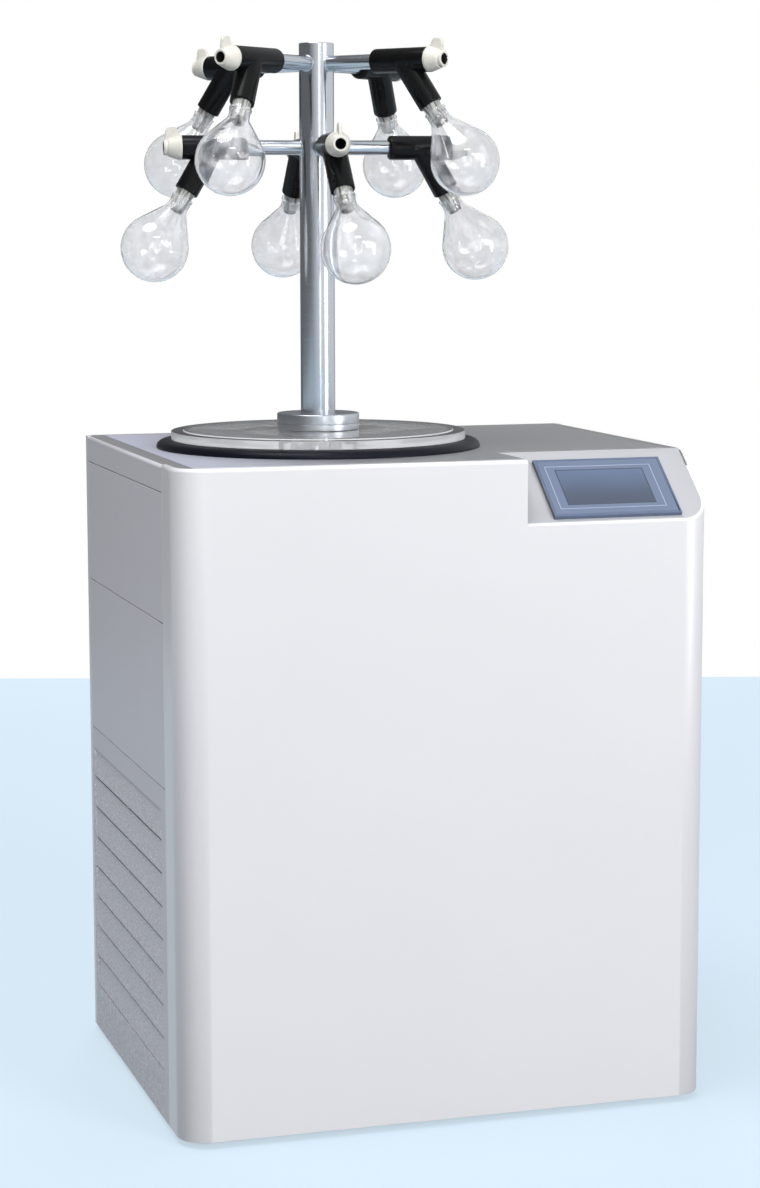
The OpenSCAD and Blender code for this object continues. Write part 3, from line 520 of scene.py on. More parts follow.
class DRYER_OT_cabinet(bpy.types.Operator):
    """Paints and eases the cabinet's panels"""

    bl_idname = "dryer.cabinet"
    bl_label = "Cabinet"
    bl_options = {"REGISTER", "UNDO"}

    def execute(self, context):
        look = context.scene.dryer_cabinet
        front = powder_coat("front_paint", tuple(look.front), roughness=0.36, coat=0.15)
        for node in ("front_panel", "back_panel"):
            dress(node, front, look.edge)
        # This side finish carries the painted shade of the side colour.
        sides = powder_coat("side_paint", tuple(look.sides), roughness=0.45)
        for side in ("left", "right"):
            dress(f"{side}_upper_panel", sides, look.edge)
            dress(f"{side}_middle_panel", sides, look.edge)
            louvres = self.louvre_paint(tuple(look.sides), side)
            dress(f"{side}_vent_panel", louvres, look.edge * 0.5)
            self.add_sill(side, louvres)
        dress("top_cover", self.cover_paint(tuple(look.sides), tuple(look.border)), look.edge)
        console = powder_coat("console_paint", tuple(look.console), roughness=0.5)
        dress("console_panel", console, look.edge)
        dress("top_plate", self.worktop_steel(), look.edge * 0.5)
        return {"FINISHED"}

    def add_sill(self, side, finish):
        """A strip on the sheet's edge below the lowest slat, so its slit is as thin as the others."""
        sheet, rise, overlap = 0.002, 0.0075, 0.001
        edge_height, field_front, field_back = 0.069, -0.249, 0.266
        low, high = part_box(f"{side}_vent_panel")
        size = (0.9 * sheet, field_back - field_front + 2 * overlap, rise + overlap)
        centre = (
            low.x + sheet / 2 if side == "left" else high.x - sheet / 2,
            (field_front + field_back) / 2,
            low.z + edge_height + (rise - overlap) / 2,
        )
        shape = bmesh.new()
        bmesh.ops.create_cube(shape, size=1.0, matrix=Matrix.Diagonal((*size, 1.0)))
        bmesh.ops.translate(shape, verts=shape.verts, vec=centre)
        piece(f"{side}_sill", bake(shape, f"{side}_sill"), "root", finish)

    def cover_paint(self, skirt, border):
        """Side paint on the skirts, and the dark border where the sheet faces up."""
        finish = powder_coat("cover_paint", skirt, roughness=0.4)
        finish.paint_over(finish.facing("Z").rising(0.88, 0.97), border)
        return finish

    def louvre_paint(self, paint, side):
        """Side paint over fine-punched slats, between a plain strip in front and one above."""
        front_strip, top_strip = 0.03, 0.04
        finish = powder_coat(f"{side}_louvre_paint", paint, roughness=0.5)
        low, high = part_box(f"{side}_vent_panel")
        speck = finish.noise(260.0, detail=2.0, roughness=0.7).rising(0.44, 0.62)
        slats = (finish.axis("Y") > low.y + front_strip) * (finish.axis("Z") < high.z - top_strip)
        finish.paint_over(slats, finish.mixed(speck, shade(paint, 0.86), shade(paint, 1.2)))
        finish.bump(speck * slats, 0.0003)
        return finish

    def worktop_steel(self):
        """Satin sheet, with a painted lilac reflection towards its left end."""
        painted_reflection_lilac = (0.68, 0.70, 0.84)
        finish = brushed("worktop_steel", (0.335, 0.34, 0.36), (6.0, 260.0, 60.0), roughness=0.34)
        finish.shader.inputs["Metallic"].default_value = 0.3
        # Painted reflection: the lilac tint towards the left end stands in for what the sheet mirrors
        # there.
        finish.paint_over(finish.axis("X").rising(-0.44, -0.1), painted_reflection_lilac, under=True)
        return finish


class DRYER_OT_screen(bpy.types.Operator):
    """Makes the operating screen's frame and glass"""

    bl_idname = "dryer.screen"
    bl_label = "Screen"
    bl_options = {"REGISTER", "UNDO"}

    def execute(self, context):
        look = context.scene.dryer_screen
        bezel = moulded("screen_frame", tuple(look.frame), roughness=0.25)
        # Painted shade: the side wall of the bezel that faces left is painted near-black.
        shaded_left_side = bezel.facing("X") < -0.7
        bezel.paint_over(shaded_left_side, (0.035, 0.04, 0.05))
        dress("screen_bezel", bezel, 0.0012, segments=3)
        dress("screen_glass", self.glass(look), 0.0003)
        return {"FINISHED"}

    def glass(self, look):
        """Printed glass: the frame's colour, a pale line and the darker display with its dark edge."""
        aside = 0.003
        display_half = (0.073, 0.0395)
        line_half = (0.0875, 0.0475)
        display_edge, line_width = 0.0018, 0.0013
        finish = Finish("screen_glass", coat_weight=1.0, coat_roughness=0.04)
        low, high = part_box("screen_glass")
        slope = math.atan2(high.z - low.z, high.y - low.y)
        up_slope = (0, math.cos(slope), math.sin(slope))
        offset = finish.node(
            "ShaderNodeVectorMath", {"operation": "SUBTRACT"}, finish.place(), middle("screen_glass")
        )
        across = abs(finish.axis("X", offset) + aside)
        climb = finish.node(
            "ShaderNodeVectorMath", {"operation": "DOT_PRODUCT"}, offset, up_slope, output="Value"
        )
        along = abs(climb)

        def inside(half, margin=0.0):
            return (across < half[0] - margin) * (along < half[1] - margin)

        line = inside(line_half) * (1 - inside(line_half, line_width))
        frame_colour, dark = tuple(look.frame), tuple(look.display)
        glow = climb.rising(-0.03, 0.045) * (0.6 + 0.8 * finish.noise(9.0))
        display = finish.mixed(glow, dark, shade(dark, 2.6))
        display = finish.mixed(inside(display_half, display_edge), shade(dark, 0.7), display)
        ground = finish.mixed(finish.noise(14.0), frame_colour, shade(frame_colour, 1.15))
        ground = finish.mixed(inside(display_half), ground, display)
        finish.set("Base Color", finish.mixed(line, ground, tuple(look.line)))
        finish.set("Roughness", 0.22 + 0.06 * finish.noise(30.0))
        return finish


class DRYER_OT_lid(bpy.types.Operator):
    """Makes the gasket, the clear lid and what clamps the tree to it"""

    bl_idname = "dryer.lid"
    bl_label = "Lid"
    bl_options = {"REGISTER", "UNDO"}

    def execute(self, context):
        self.gasket()
        self.disc()
        grain = (20.0, 20.0, 300.0)
        self.collar(brushed("collar_steel", (0.56, 0.585, 0.63), grain, roughness=0.3, contrast=0.05))
        dress("collar_nut", moulded("black_nut", (0.015, 0.015, 0.017), roughness=0.3), 0.0008)
        dress("collar_bolts", bare_metal("bright_zinc", (0.75, 0.76, 0.78), roughness=0.25), 0.0004)
        return {"FINISHED"}

    def ring_place(self, node):
        """A round node's frame on its underside, its radius and its height."""
        low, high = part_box(node)
        centre = middle(node)
        return Matrix.Translation((centre.x, centre.y, low.z)), (high.x - low.x) / 2, high.z - low.z

    def gasket(self):
        """A thick inner ring that rounds down to a thin outer lip."""
        matrix, radius, height = self.ring_place("lid_gasket")
        inner, lip = 0.205, 0.003
        crown = height - lip
        outline = rounded([
            (inner, 0), (radius, 0), (radius, lip, 0.0012),
            (radius - 0.25 * crown, lip + 0.55 * crown, 0.008),
            (radius - 0.8 * crown, lip + 0.88 * crown, 0.012),
            (radius - 1.6 * crown, height, 0.01), (inner, height, 0.0015),
        ])
        mesh = lathe_mesh("lid_seal", outline, 192)
        smooth(mesh)
        black = rubber("gasket_rubber", (0.002, 0.003, 0.007), roughness=0.3, gloss=0.15)
        piece("lid_seal", mesh, "root", black, ["lid_gasket"], matrix)

    def disc(self):
        """Clear disc with a low step near its rim, and holes for the tree and the bolts."""
        matrix, radius, height = self.ring_place("lid_disc")
        hole, edge, crisp = 0.0278, 0.001, 0.0003
        step, ledge = 0.0015, 0.019
        inside = radius - ledge
        outline = rounded([
            (hole, 0, 0.0004), (radius, 0, edge), (radius, height - step, edge),
            (inside, height - step, crisp), (inside - step, height, crisp), (hole, height, 0.0004),
        ])
        base = scratch(lathe_mesh("clear_lid", outline, 192))
        mesh = combined(base, self.bolt_holes(), "DIFFERENCE")
        smooth(mesh)
        acrylic = clear_glass("clear_acrylic", (0.93, 0.96, 0.97), ior=1.49)
        self.sand(acrylic, inside, step, radius)
        piece("clear_lid", mesh, "root", acrylic, ["lid_disc"], matrix)

    def bolt_holes(self):
        """Six cutters in a ring that is turned with the tree."""
        circle, radius, below, above = 0.041, 0.0033, -0.01, 0.03
        outward = Vector(joint("valve_1")["axis"])
        first = math.atan2(outward.y, outward.x) + math.pi / 2
        holes = []
        for spin in range(6):
            turn = Matrix.Rotation(first + spin * math.pi / 3, 4, "Z")
            cutter = lathe_mesh("bolt_hole", [(0, below), (radius, below), (radius, above), (0, above)], 24)
            holes.append(scratch(cutter, turn @ Matrix.Translation((circle, 0, 0))))
        return holes

    def sand(self, acrylic, inside, step, radius):
        """Sands the lid's rim and the riser of its step, and dulls its raised face a little."""
        rim_share, riser_share, face_share = 0.5, 0.9, 0.09
        from_axis = acrylic.from_axis("X", "Y")
        raised = from_axis < inside
        riser = raised * (from_axis > inside - step)
        rim = from_axis > radius - 0.0008
        sanded = acrylic.node("ShaderNodeBsdfDiffuse", {}, (0.66, 0.66, 0.67))
        acrylic.cover(rim * rim_share + riser * riser_share + raised * face_share, sanded)

    def collar(self, steel):
        """Turned collar with a faint groove above its lower ring."""
        matrix, radius, height = self.ring_place("manifold_collar")
        bore, groove, groove_low, groove_high = 0.0276, 0.0008, 0.0100, 0.0104
        outline = rounded([
            (bore, 0, 0.0004), (radius, 0, 0.0008),
            (radius, groove_low - 0.0005, 0.0004), (radius - groove, groove_low),
            (radius - groove, groove_high), (radius, groove_high + 0.0005, 0.0004),
            (radius, height, 0.0025), (bore, height, 0.0004),
        ])
        mesh = lathe_mesh("lid_collar", outline, 160)
        smooth(mesh)
        piece("lid_collar", mesh, "root", steel, ["manifold_collar"], matrix)


class DRYER_OT_tree(bpy.types.Operator):
    """Makes the upright tube with its eight welded arms"""

    bl_idname = "dryer.tree"
    bl_label = "Tree"
    bl_options = {"REGISTER", "UNDO"}

    tube = 0.0275
    sunk = 0.002

    def execute(self, context):
        low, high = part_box("manifold_tube")
        axis = Vector(joint("valve_1")["pos_m"])
        tall = high.z - low.z
        wall, lid = 0.002, 0.003
        outline = rounded([
            (0, tall), (0, tall - lid), (self.tube - wall, tall - lid), (self.tube - wall, 0),
            (self.tube, 0, 0.0005), (self.tube, tall, 0.0016),
        ])
        mesh = lathe_mesh("tree", outline, 128)
        smooth(mesh)
        grain = (30.0, 30.0, 500.0)
        steel = brushed("tube_steel", (0.57, 0.595, 0.64), grain, roughness=0.19, contrast=0.05)
        matrix = Matrix.Translation((axis.x, axis.y, low.z))
        piece("tree", mesh, "root", steel, ["manifold_tube"], matrix)
        grain = (40.0, 40.0, 900.0)
        steel = brushed("arm_steel", (0.52, 0.55, 0.59), grain, roughness=0.2, contrast=0.06)
        for number in FLASKS:
            matrix = arm_frame(number) @ OUTWARD
            for name, mesh in (("arm", self.arm_mesh()), ("arm_weld", self.weld_bead())):
                piece(f"{name}_{number}", mesh, "root", steel, (), matrix)
        return {"FINISHED"}

    def arm_mesh(self):
        """One arm tube, which starts a little inside the upright."""
        inner = ARM_RADIUS - 0.0015
        start = self.tube - self.sunk
        outline = rounded([
            (inner, start), (ARM_RADIUS, start), (ARM_RADIUS, ARM_END, 0.0004), (inner, ARM_END, 0.0004)
        ])
        mesh = lathe_mesh("arm", outline, 48)
        smooth(mesh)
        return mesh

    def weld_bead(self):
        """A rippled bead along the line where an arm meets the upright."""
        around, across, ripples = 72, 8, 24
        bead_radius, ripple_depth = 0.0016, 0.12
        shape = bmesh.new()
        rings = []
        for k in range(around):
            t = 2 * math.pi * k / around
            side, rise = ARM_RADIUS * math.sin(t), ARM_RADIUS * math.cos(t)
            centre = Vector((rise, side, math.sqrt(self.tube**2 - side**2)))
            away = Vector((math.cos(t), math.sin(t), 0))
            thick = bead_radius * (1 + ripple_depth * math.sin(t * ripples))
            turns = [2 * math.pi * m / across for m in range(across)]
            ring = [centre + thick * (math.cos(turn) * away + math.sin(turn) * UP) for turn in turns]
            rings.append([shape.verts.new(point) for point in ring])
        for first, second in zip(rings, rings[1:] + rings[:1]):
            for m in range(across):
                shape.faces.new([first[m], second[m], second[(m + 1) % across], first[(m + 1) % across]])
        bmesh.ops.recalc_face_normals(shape, faces=shape.faces)
        mesh = bake(shape, "arm_weld")
        smooth(mesh, 80)
        return mesh


class DRYER_OT_valves(bpy.types.Operator):
    """Makes the rubber valve bodies and their cream plugs"""

    bl_idname = "dryer.valves"
    bl_label = "Valves"
    bl_options = {"REGISTER", "UNDO"}

    seat = 0.01306
    seat_start = 0.172
    throat = 0.008

    def execute(self, context):
        look = context.scene.dryer_valves
        black = rubber("valve_rubber", (0.003, 0.003, 0.0033), roughness=0.16, gloss=0.16)
        cream = self.cream_plastic()
        plug = self.plug_mesh(look)
        left = look.start - look.left_in
        starts = {2: look.start + look.second_out, 4: left, 8: left}
        bodies = {}
        for number in FLASKS:
            shaped = leg_lean(number), starts.get(number, look.start)
            if shaped not in bodies:
                bodies[shaped] = self.body_mesh(look, *shaped)
            matrix = arm_frame(number)
            piece(
                f"valve_rubber_{number}", bodies[shaped], "root", black,
                [f"valve_body_{number}"], matrix,
            )
            piece(
                f"vent_plug_{number}", plug, f"valve_plug_{number}", cream,
                [f"valve_core_{number}"], matrix,
            )
        return {"FINISHED"}

    def cream_plastic(self):
        """Cream moulding, with painted shade darkening its throat."""
        finish = moulded("cream_plastic", (0.80, 0.78, 0.71), roughness=0.42)
        # Painted shade: the deep bore of the throat is painted near-black.
        throat = finish.from_axis("Y", "Z") < self.throat + 0.0004
        finish.paint_over(throat, (0.02, 0.02, 0.02))
        return finish

    def body_mesh(self, look, lean, start):
        """A rounded barrel and a leg in one moulding, bored for the arm, the plug and the joint."""
        slack, past = 0.0001, 0.01
        joint_bore, joint_depth = 0.0101, 0.03
        leg_end = look.leg_length
        barrel = rounded([
            (0, start), (look.radius, start, 0.005), (look.radius, look.end, 0.0012), (0, look.end)
        ])
        stem = rounded([
            (0, 0), (look.radius, 0), (look.radius, leg_end, 0.0014),
            (joint_bore, leg_end, 0.0006), (joint_bore, leg_end - joint_depth), (0, leg_end - joint_depth),
        ])
        leg = scratch(lathe_mesh("stem", stem, 64), leg_turn(lean))
        joined = combined(scratch(lathe_mesh("barrel", barrel, 64), OUTWARD), [leg], "UNION")
        bores = [
            self.bore(ARM_RADIUS + slack, start - 0.001, ARM_END + 0.0002, 48),
            self.bore(self.seat, self.seat_start, look.end + past, 48),
        ]
        mesh = combined(scratch(joined), bores, "DIFFERENCE")
        smooth(mesh, 30)
        return mesh

    def bore(self, radius, start, end, segments):
        """A cutter for a round hole along the arm's axis."""
        outline = [(0, start), (radius, start), (radius, end), (0, end)]
        return scratch(lathe_mesh("bore", outline, segments), OUTWARD)

    def plug_mesh(self, look):
        """The vent plug: a tapered cap with a bore, and the wing that turns it."""
        start = look.end + 0.0003
        end = start + look.cap
        stem, flange, nose, bottom = 0.013, 0.0193, 0.0122, 0.18
        outline = rounded([
            (0, 0.173), (stem, 0.173, 0.001), (stem, start), (flange, start, 0.0006),
            (flange, start + 0.004, 0.0025), (0.0142, end - 0.0075, 0.002), (nose, end - 0.006, 0.002),
            (nose, end, 0.0016), (self.throat, end, 0.0009), (self.throat, bottom), (0, bottom),
        ])
        base = scratch(lathe_mesh("cap", outline, 72), OUTWARD)
        mesh = combined(base, [scratch(self.wing_mesh(start))], "UNION")
        mesh = combined(scratch(mesh), [self.bore(self.throat, bottom, end + 0.001, 72)], "DIFFERENCE")
        smooth(mesh, 30)
        return mesh

    def wing_mesh(self, start):
        """The wing: a lobed tab with rounded edges, standing on the cap."""
        thick, rounding, sharp = 0.005, 0.0012, 1.2
        outline = rounded([
            (0.001, 0.009), (0.001, 0.018, 0.003), (0.0045, 0.024, 0.006), (0.0065, 0.029, 0.002),
            (0.009, 0.0312, 0.002), (0.012, 0.032, 0.003), (0.021, 0.0315, 0.003), (0.0235, 0.0295, 0.002),
            (0.025, 0.025, 0.006), (0.026, 0.018, 0.004), (0.026, 0.009),
        ])
        shape = bmesh.new()
        corners = [shape.verts.new((start + x, -thick / 2, z)) for x, z in outline]
        face = shape.faces.new(corners)
        grown = bmesh.ops.extrude_face_region(shape, geom=[face])
        moved = [v for v in grown["geom"] if isinstance(v, bmesh.types.BMVert)]
        bmesh.ops.translate(shape, verts=moved, vec=(0, thick, 0))
        bmesh.ops.recalc_face_normals(shape, faces=shape.faces)
        rims = [e for e in shape.edges if len(e.link_faces) == 2 and e.calc_face_angle() > sharp]
        bmesh.ops.bevel(
            shape, geom=rims, offset=rounding, segments=3, affect="EDGES", profile=0.5, clamp_overlap=True
        )
        return bake(shape, "wing")


class DRYER_OT_flasks(bpy.types.Operator):
    """Makes the frosted joints and the pear-shaped flasks"""

    bl_idname = "dryer.flasks"
    bl_label = "Flasks"
    bl_options = {"REGISTER", "UNDO"}

    def execute(self, context):
        look = context.scene.dryer_flasks
        glass = self.hazy_glass()
        frost = self.frosted_glass()
        flask = self.flask_mesh(look)
        joint_mesh = self.joint_mesh()
        for number in FLASKS:
            matrix = leg_frame(number)
            leaned, place = self.leaned(flask, matrix)
            nodes = [f"flask_{number}"]
            piece(f"glass_flask_{number}", leaned, "root", glass, nodes, place)
            made = piece(f"ground_joint_{number}", joint_mesh, "root", frost, (), matrix)
            if number == FLASKS[-1]:
                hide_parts("flask_adapters")
        return {"FINISHED"}

    def leaned(self, mesh, matrix):
        """A copy of a mesh that holds the tilt itself and keeps each point's upright place."""
        mesh = mesh.copy()
        upright = mesh.attributes.new("upright_place", "FLOAT_VECTOR", "POINT")
        for point, vertex in zip(upright.data, mesh.vertices):
            point.vector = vertex.co
        mesh.transform(matrix.to_3x3().to_4x4())
        return mesh, Matrix.Translation(matrix.translation)

    def hazy_glass(self):
        """Clear glass with a faint even white haze and painted highlights in it: streaks that fan out from
        the neck, and blots below.
        """
        glass = clear_glass("flask_glass", (0.83, 0.835, 0.845))
        place = glass.node("ShaderNodeAttribute", {"attribute_name": "upright_place"}, output="Vector")
        along_neck = glass.stretched((95.0, 95.0, 7.0), place)
        streaks = glass.noise(1.0, along_neck, detail=0.0).rising(0.4, 0.72)
        blots = glass.noise(48.0, place, detail=0.0).rising(0.4, 0.75)
        below = glass.axis("Z", place).rising(0.06, 0.1)
        # Painted highlights: white diffuse haze in streaks and blots where the flasks show highlights.
        highlight_haze = 0.008 + 0.15 * (streaks * (1 - below) + blots * below)
        glass.cover(highlight_haze, glass.node("ShaderNodeBsdfDiffuse", {}, (0.93, 0.93, 0.95)))
        return glass

    def frosted_glass(self):
        """Ground glass with painted highlight and shade in streaks along its length, and a dark tip."""
        finish = Finish("frosted_glass", ior=1.45, coat_weight=0.6, coat_roughness=0.1)
        # Painted highlight and shade: dark and pale streaks along the joint stand in for its shaded side
        # and its bright streak.
        streak_light_and_shade = finish.noise(1.0, finish.stretched((260.0, 260.0, 20.0)), detail=2.0).rising(0.4, 0.62)
        ground = finish.mixed(streak_light_and_shade, (0.13, 0.132, 0.118), (0.50, 0.50, 0.475))
        tip = finish.axis("Z").rising(0.024, 0.036)
        finish.set("Base Color", finish.mixed(tip, ground, (0.08, 0.08, 0.075)))
        finish.set("Roughness", 0.3 + 0.15 * finish.noise(400.0))
        finish.bump(finish.noise(2500.0), 0.00002)
        return finish

    def joint_mesh(self):
        """A ground joint: a plain stub in the leg, and a taper with a drip tip in the flask."""
        stub, bore, tip, end = 0.0099, 0.005, 0.004, 0.036
        outline = rounded([
            (bore, -0.03), (stub, -0.03, 0.0006), (stub, 0), (0.0148, 0, 0.0005),
            (0.0102, end, 0.0012), (tip, end, 0.0005), (tip, end - 0.006), (bore, end - 0.008),
        ])
        mesh = lathe_mesh("ground_joint", outline, 64)
        smooth(mesh)
        return mesh

    def flask_mesh(self, look):
        """A blown pear with a rolled rim: the outer line down and the inner line back up."""
        rim, neck_end, bead_out = 0.010, 0.0285, 0.0012
        inner_neck = look.neck - look.wall
        outer = self.pear(look.neck, neck_end, look.bulb, look.drop)
        inner = self.pear(inner_neck, neck_end + 0.001, look.bulb - look.wall, look.drop)
        bead = rounded([
            (inner_neck + 0.0008, rim, 0.0004), (look.neck + bead_out, rim, 0.0012),
            (look.neck + bead_out, rim + 0.003, 0.0012), (look.neck, rim + 0.0042),
        ])
        mesh = lathe_mesh("glass_flask", bead + outer + inner[::-1], 80)
        smooth(mesh, 60)
        return mesh

    def pear(self, neck, neck_to, bulb, drop):
        """Half outline of a pear: a neck, a straight flare onto the bulb, and round to the axis."""
        away = drop - neck_to
        flare = math.asin(bulb / math.hypot(away, neck)) - math.atan2(neck, away)
        line = rounded([
            (neck, neck_to - 0.004), (neck, neck_to + 0.001, 0.02),
            (bulb * math.cos(flare), drop - bulb * math.sin(flare)),
        ])[:-1]
        steps = 30
        for k in range(steps):
            t = -flare + (math.pi / 2 + flare) * k / steps
            line.append(Vector((bulb * math.cos(t), drop + bulb * math.sin(t))))
        return line + [Vector((0, drop + bulb))]


class DRYER_OT_trap(bpy.types.Operator):
    """Finishes the cold trap: pot, coil and foam"""

    bl_idname = "dryer.trap"
    bl_label = "Cold trap"
    bl_options = {"REGISTER", "UNDO"}

    def execute(self, context):
        pot = brushed("trap_steel", (0.55, 0.56, 0.58), (25.0, 25.0, 400.0), roughness=0.32)
        dress("trap_pot", pot)
        coil = bare_metal("coil_copper", (0.62, 0.33, 0.20), roughness=0.3)
        dress("trap_coil", coil)
        foam = moulded("foam", (0.05, 0.05, 0.055), roughness=0.8, grain=0.0004)
        dress("trap_insulation", foam)
        return {"FINISHED"}


class DRYER_OT_machine_bay(bpy.types.Operator):
    """Finishes the frame, the compressor, the condenser, the fan and the control box"""

    bl_idname = "dryer.machine_bay"
    bl_label = "Machine bay"
    bl_options = {"REGISTER", "UNDO"}

    def execute(self, context):
        dress("base_frame", powder_coat("frame_steel", (0.42, 0.43, 0.45), roughness=0.5), 0.0004)
        dress("compressor", powder_coat("compressor_enamel", (0.02, 0.02, 0.022), roughness=0.3))
        fins = brushed("fin_aluminium", (0.60, 0.61, 0.62), (200.0, 200.0, 20.0), roughness=0.35)
        dress("condenser", fins)
        dress("fan_housing", powder_coat("fan_steel", (0.12, 0.12, 0.13), roughness=0.45))
        dress("fan_rotor", moulded("fan_blade", (0.05, 0.05, 0.055), roughness=0.45), 0.0004)
        dress("control_box", powder_coat("box_paint", (0.62, 0.62, 0.61), roughness=0.45), 0.001)
        return {"FINISHED"}


class DRYER_OT_services(bpy.types.Operator):
    """Finishes the screws, feet, vacuum port, drain valve, inlet and switch"""

    bl_idname = "dryer.services"
    bl_label = "Services"
    bl_options = {"REGISTER", "UNDO"}

    def execute(self, context):
        dress("panel_screws", bare_metal("zinc", (0.72, 0.73, 0.75), roughness=0.3), 0.0002)
        dress("levelling_feet", rubber("foot_rubber", (0.02, 0.02, 0.02), roughness=0.6), 0.0008)
        port = brushed("port_steel", (0.60, 0.61, 0.63), (60.0, 20.0, 60.0), roughness=0.3)
        dress("vacuum_pipe", port, 0.0004)
        dress("drain_valve", bare_metal("valve_brass", (0.72, 0.58, 0.28), roughness=0.28), 0.0004)
        dress("drain_lever", moulded("red_grip", (0.50, 0.03, 0.02), roughness=0.3), 0.0006)
        dress("power_inlet", moulded("inlet_plastic", (0.02, 0.02, 0.022), roughness=0.4), 0.0005)
        dress("switch_rocker", moulded("red_rocker", (0.55, 0.03, 0.02), roughness=0.25), 0.0005)
        return {"FINISHED"}


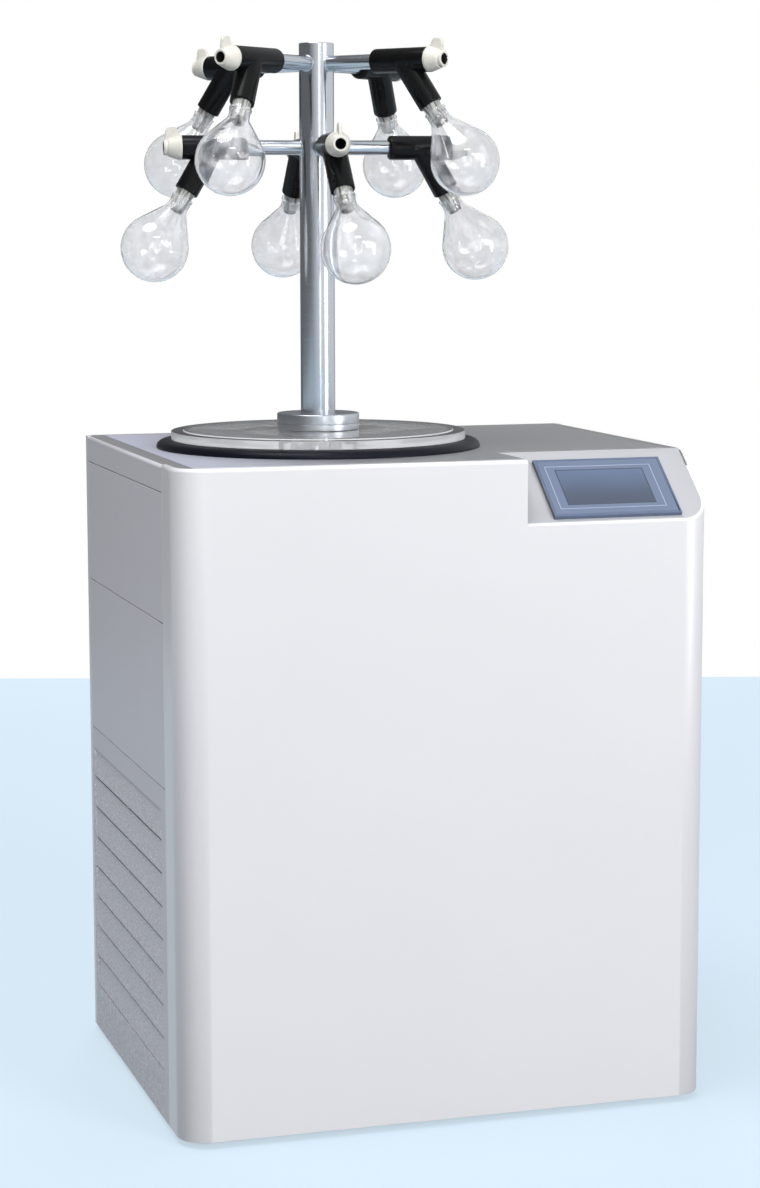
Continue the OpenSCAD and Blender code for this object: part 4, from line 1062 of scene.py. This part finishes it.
class DRYER_OT_stage(bpy.types.Operator):
    """Makes the floor, the lamps, the surroundings and the camera"""

    bl_idname = "dryer.stage"
    bl_label = "Stage"
    bl_options = {"REGISTER", "UNDO"}

    bright_side = (0.755, -0.604, 0.252)

    def execute(self, context):
        scene = context.scene
        stage = scene.dryer_stage
        self.camera(scene, stage)
        self.floor(stage)
        self.lamps()
        self.surroundings(scene)
        scene.view_settings.view_transform = "Standard"
        return {"FINISHED"}

    def camera(self, scene, stage):
        """A camera that stands in front and to the left, turned towards the dryer."""
        lens = bpy.data.cameras.new("camera")
        lens.lens = stage.lens
        lens.sensor_width = 36.0
        made = bpy.data.objects.new("camera", lens)
        scene.collection.objects.link(made)
        made.matrix_world = (
            Matrix.Translation((-stage.aside, -stage.distance, stage.height))
            @ Matrix.Rotation(-stage.yaw, 4, "Z")
            @ Matrix.Rotation(math.pi / 2 - stage.pitch, 4, "X")
            @ Matrix.Rotation(stage.roll, 4, "Z")
        )
        scene.camera = made

    def floor(self, stage):
        """A pale floor that ends in a straight edge behind the dryer, square to the camera."""
        behind, before, aside = 3.817, 9.0, 9.0
        lit_share, bounced_share, glow = 0.3, 0.12, 0.68
        shape = bmesh.new()
        corners = [(-aside, -before), (aside, -before), (aside, behind), (-aside, behind)]
        shape.faces.new([shape.verts.new((x, y, 0)) for x, y in corners])
        finish = Finish("floor", roughness=0.7, specular_ior_level=0.0)
        tint = tuple(stage.floor)
        cloud = finish.mixed(finish.noise(0.8), shade(tint, lit_share), shade(tint, lit_share - 0.005))
        bounced = finish.node("ShaderNodeLightPath", {}, output="Is Diffuse Ray")
        finish.set("Base Color", finish.mixed(bounced, cloud, shade(tint, bounced_share)))
        finish.set("Emission Color", finish.mixed(bounced, tint, (0, 0, 0)))
        finish.set("Emission Strength", glow)
        made = bpy.data.objects.new("floor", bake(shape, "floor"))
        bpy.context.scene.collection.objects.link(made)
        made.matrix_world = Matrix.Rotation(-stage.yaw, 4, "Z")
        made.data.materials.append(finish.material)

    def lamps(self):
        """Soft boxes light the dryer, and small strips only show in steel, rubber and glass.

        Each has its place, its size in metres and its power in watts.
        """
        boxes = {
            "key": ((3.0, -6.3, 3.2), (3.4, 2.8), 270),
            "fill": ((-2.6, -6.2, 2.4), (2.2, 2.6), 115),
            "top": ((-1.7, -0.8, 6.4), (3.6, 3.6), 190),
            "back": ((1.8, 6.4, 2.6), (3.2, 2.6), 150),
        }
        strips = {
            "strip_front": ((0.15, -5.1, 1.6), (0.35, 2.8), 11),
            "strip_right": ((2.95, -3.33, 1.6), (1.3, 2.8), 36),
            "strip_high": ((-0.6, -3.6, 4.2), (1.6, 0.5), 18),
            "spark_front": ((0.6, -3.8, 2.9), (0.5, 0.5), 9),
            "spark_low": ((2.6, -2.7, 0.6), (0.5, 0.4), 8),
        }
        for name, box in (boxes | strips).items():
            made = self.lamp(name, *box)
            made.visible_transmission = name != "back"
            made.visible_glossy = name == "top" or name in strips
            made.visible_diffuse = name in boxes

    def lamp(self, name, place, size, power):
        """An oval lamp that faces the dryer."""
        aim = Vector((-0.1, 0, 1.1))
        light = bpy.data.lights.new(name, "AREA")
        light.shape = "ELLIPSE"
        light.size, light.size_y = size
        light.energy = power
        made = bpy.data.objects.new(name, light)
        bpy.context.scene.collection.objects.link(made)
        made.location = place
        made.rotation_euler = (aim - Vector(place)).to_track_quat("-Z", "Y").to_euler()
        return made

    def surroundings(self, scene):
        """White behind the dryer and in glass; in gloss, white in front and right and grey elsewhere."""
        world = bpy.data.worlds.new("surroundings")
        scene.world = world
        world.use_nodes = True
        tree = world.node_tree

        def add(kind, **inputs):
            made = tree.nodes.new(kind)
            for name, value in inputs.items():
                socket = made.inputs[name.replace("_", " ")]
                if isinstance(value, bpy.types.NodeSocket):
                    tree.links.new(value, socket)
                else:
                    socket.default_value = value
            return made

        light = tree.nodes["Background"]
        light.inputs["Color"].default_value = (0.95, 0.97, 1.0, 1)
        light.inputs["Strength"].default_value = 0.34
        path = add("ShaderNodeLightPath").outputs
        towards = add("ShaderNodeVectorMath", Vector=add("ShaderNodeTexCoord").outputs["Generated"])
        towards.operation = "DOT_PRODUCT"
        towards.inputs[1].default_value = self.bright_side
        level = add(
            "ShaderNodeMapRange", Value=towards.outputs["Value"],
            From_Min=-0.35, From_Max=0.55, To_Min=0.18, To_Max=0.95,
        )
        gloss = add("ShaderNodeBackground", Color=(0.96, 0.98, 1.0, 1), Strength=level.outputs["Result"])
        white = add("ShaderNodeBackground", Color=(1, 1, 1, 1), Strength=1.0)
        seen = add("ShaderNodeMath")
        seen.operation = "MAXIMUM"
        tree.links.new(path["Is Camera Ray"], seen.inputs[0])
        tree.links.new(path["Is Transmission Ray"], seen.inputs[1])
        mixed = light.outputs[0]
        for share, chosen in ((path["Is Glossy Ray"], gloss), (seen.outputs[0], white)):
            step = tree.nodes.new("ShaderNodeMixShader")
            tree.links.new(share, step.inputs[0])
            tree.links.new(mixed, step.inputs[1])
            tree.links.new(chosen.outputs[0], step.inputs[2])
            mixed = step.outputs[0]
        tree.links.new(mixed, tree.nodes["World Output"].inputs["Surface"])


# ---------- panel, registration and run ----------

GROUPS = {
    "dryer_cabinet": DryerCabinet,
    "dryer_screen": DryerScreen,
    "dryer_valves": DryerValves,
    "dryer_flasks": DryerFlasks,
    "dryer_stage": DryerStage,
}
STEPS = (
    DRYER_OT_stage,
    DRYER_OT_cabinet,
    DRYER_OT_screen,
    DRYER_OT_lid,
    DRYER_OT_tree,
    DRYER_OT_valves,
    DRYER_OT_flasks,
    DRYER_OT_trap,
    DRYER_OT_machine_bay,
    DRYER_OT_services,
)


class DRYER_PT_panel(bpy.types.Panel):
    """Lists the settings and the steps"""

    bl_idname = "DRYER_PT_panel"
    bl_label = "Freeze dryer"
    bl_space_type = "VIEW_3D"
    bl_region_type = "UI"
    bl_category = "Freeze dryer"

    def draw(self, context):
        for name, group in GROUPS.items():
            box = self.layout.box()
            settings = getattr(context.scene, name)
            for key in group.__annotations__:
                box.prop(settings, key)
        for step in STEPS:
            self.layout.operator(step.bl_idname)


def register():
    for cls in (*GROUPS.values(), *STEPS, DRYER_PT_panel):
        bpy.utils.register_class(cls)
    for name, group in GROUPS.items():
        setattr(bpy.types.Scene, name, bpy.props.PointerProperty(type=group))


def unregister():
    for name in GROUPS:
        delattr(bpy.types.Scene, name)
    for cls in (DRYER_PT_panel, *reversed(STEPS), *reversed(GROUPS.values())):
        bpy.utils.unregister_class(cls)


def main():
    """Makes every piece."""
    register()
    for step in STEPS:
        group, name = step.bl_idname.split(".")
        getattr(getattr(bpy.ops, group), name)()


if __name__ == "__main__":
    main()
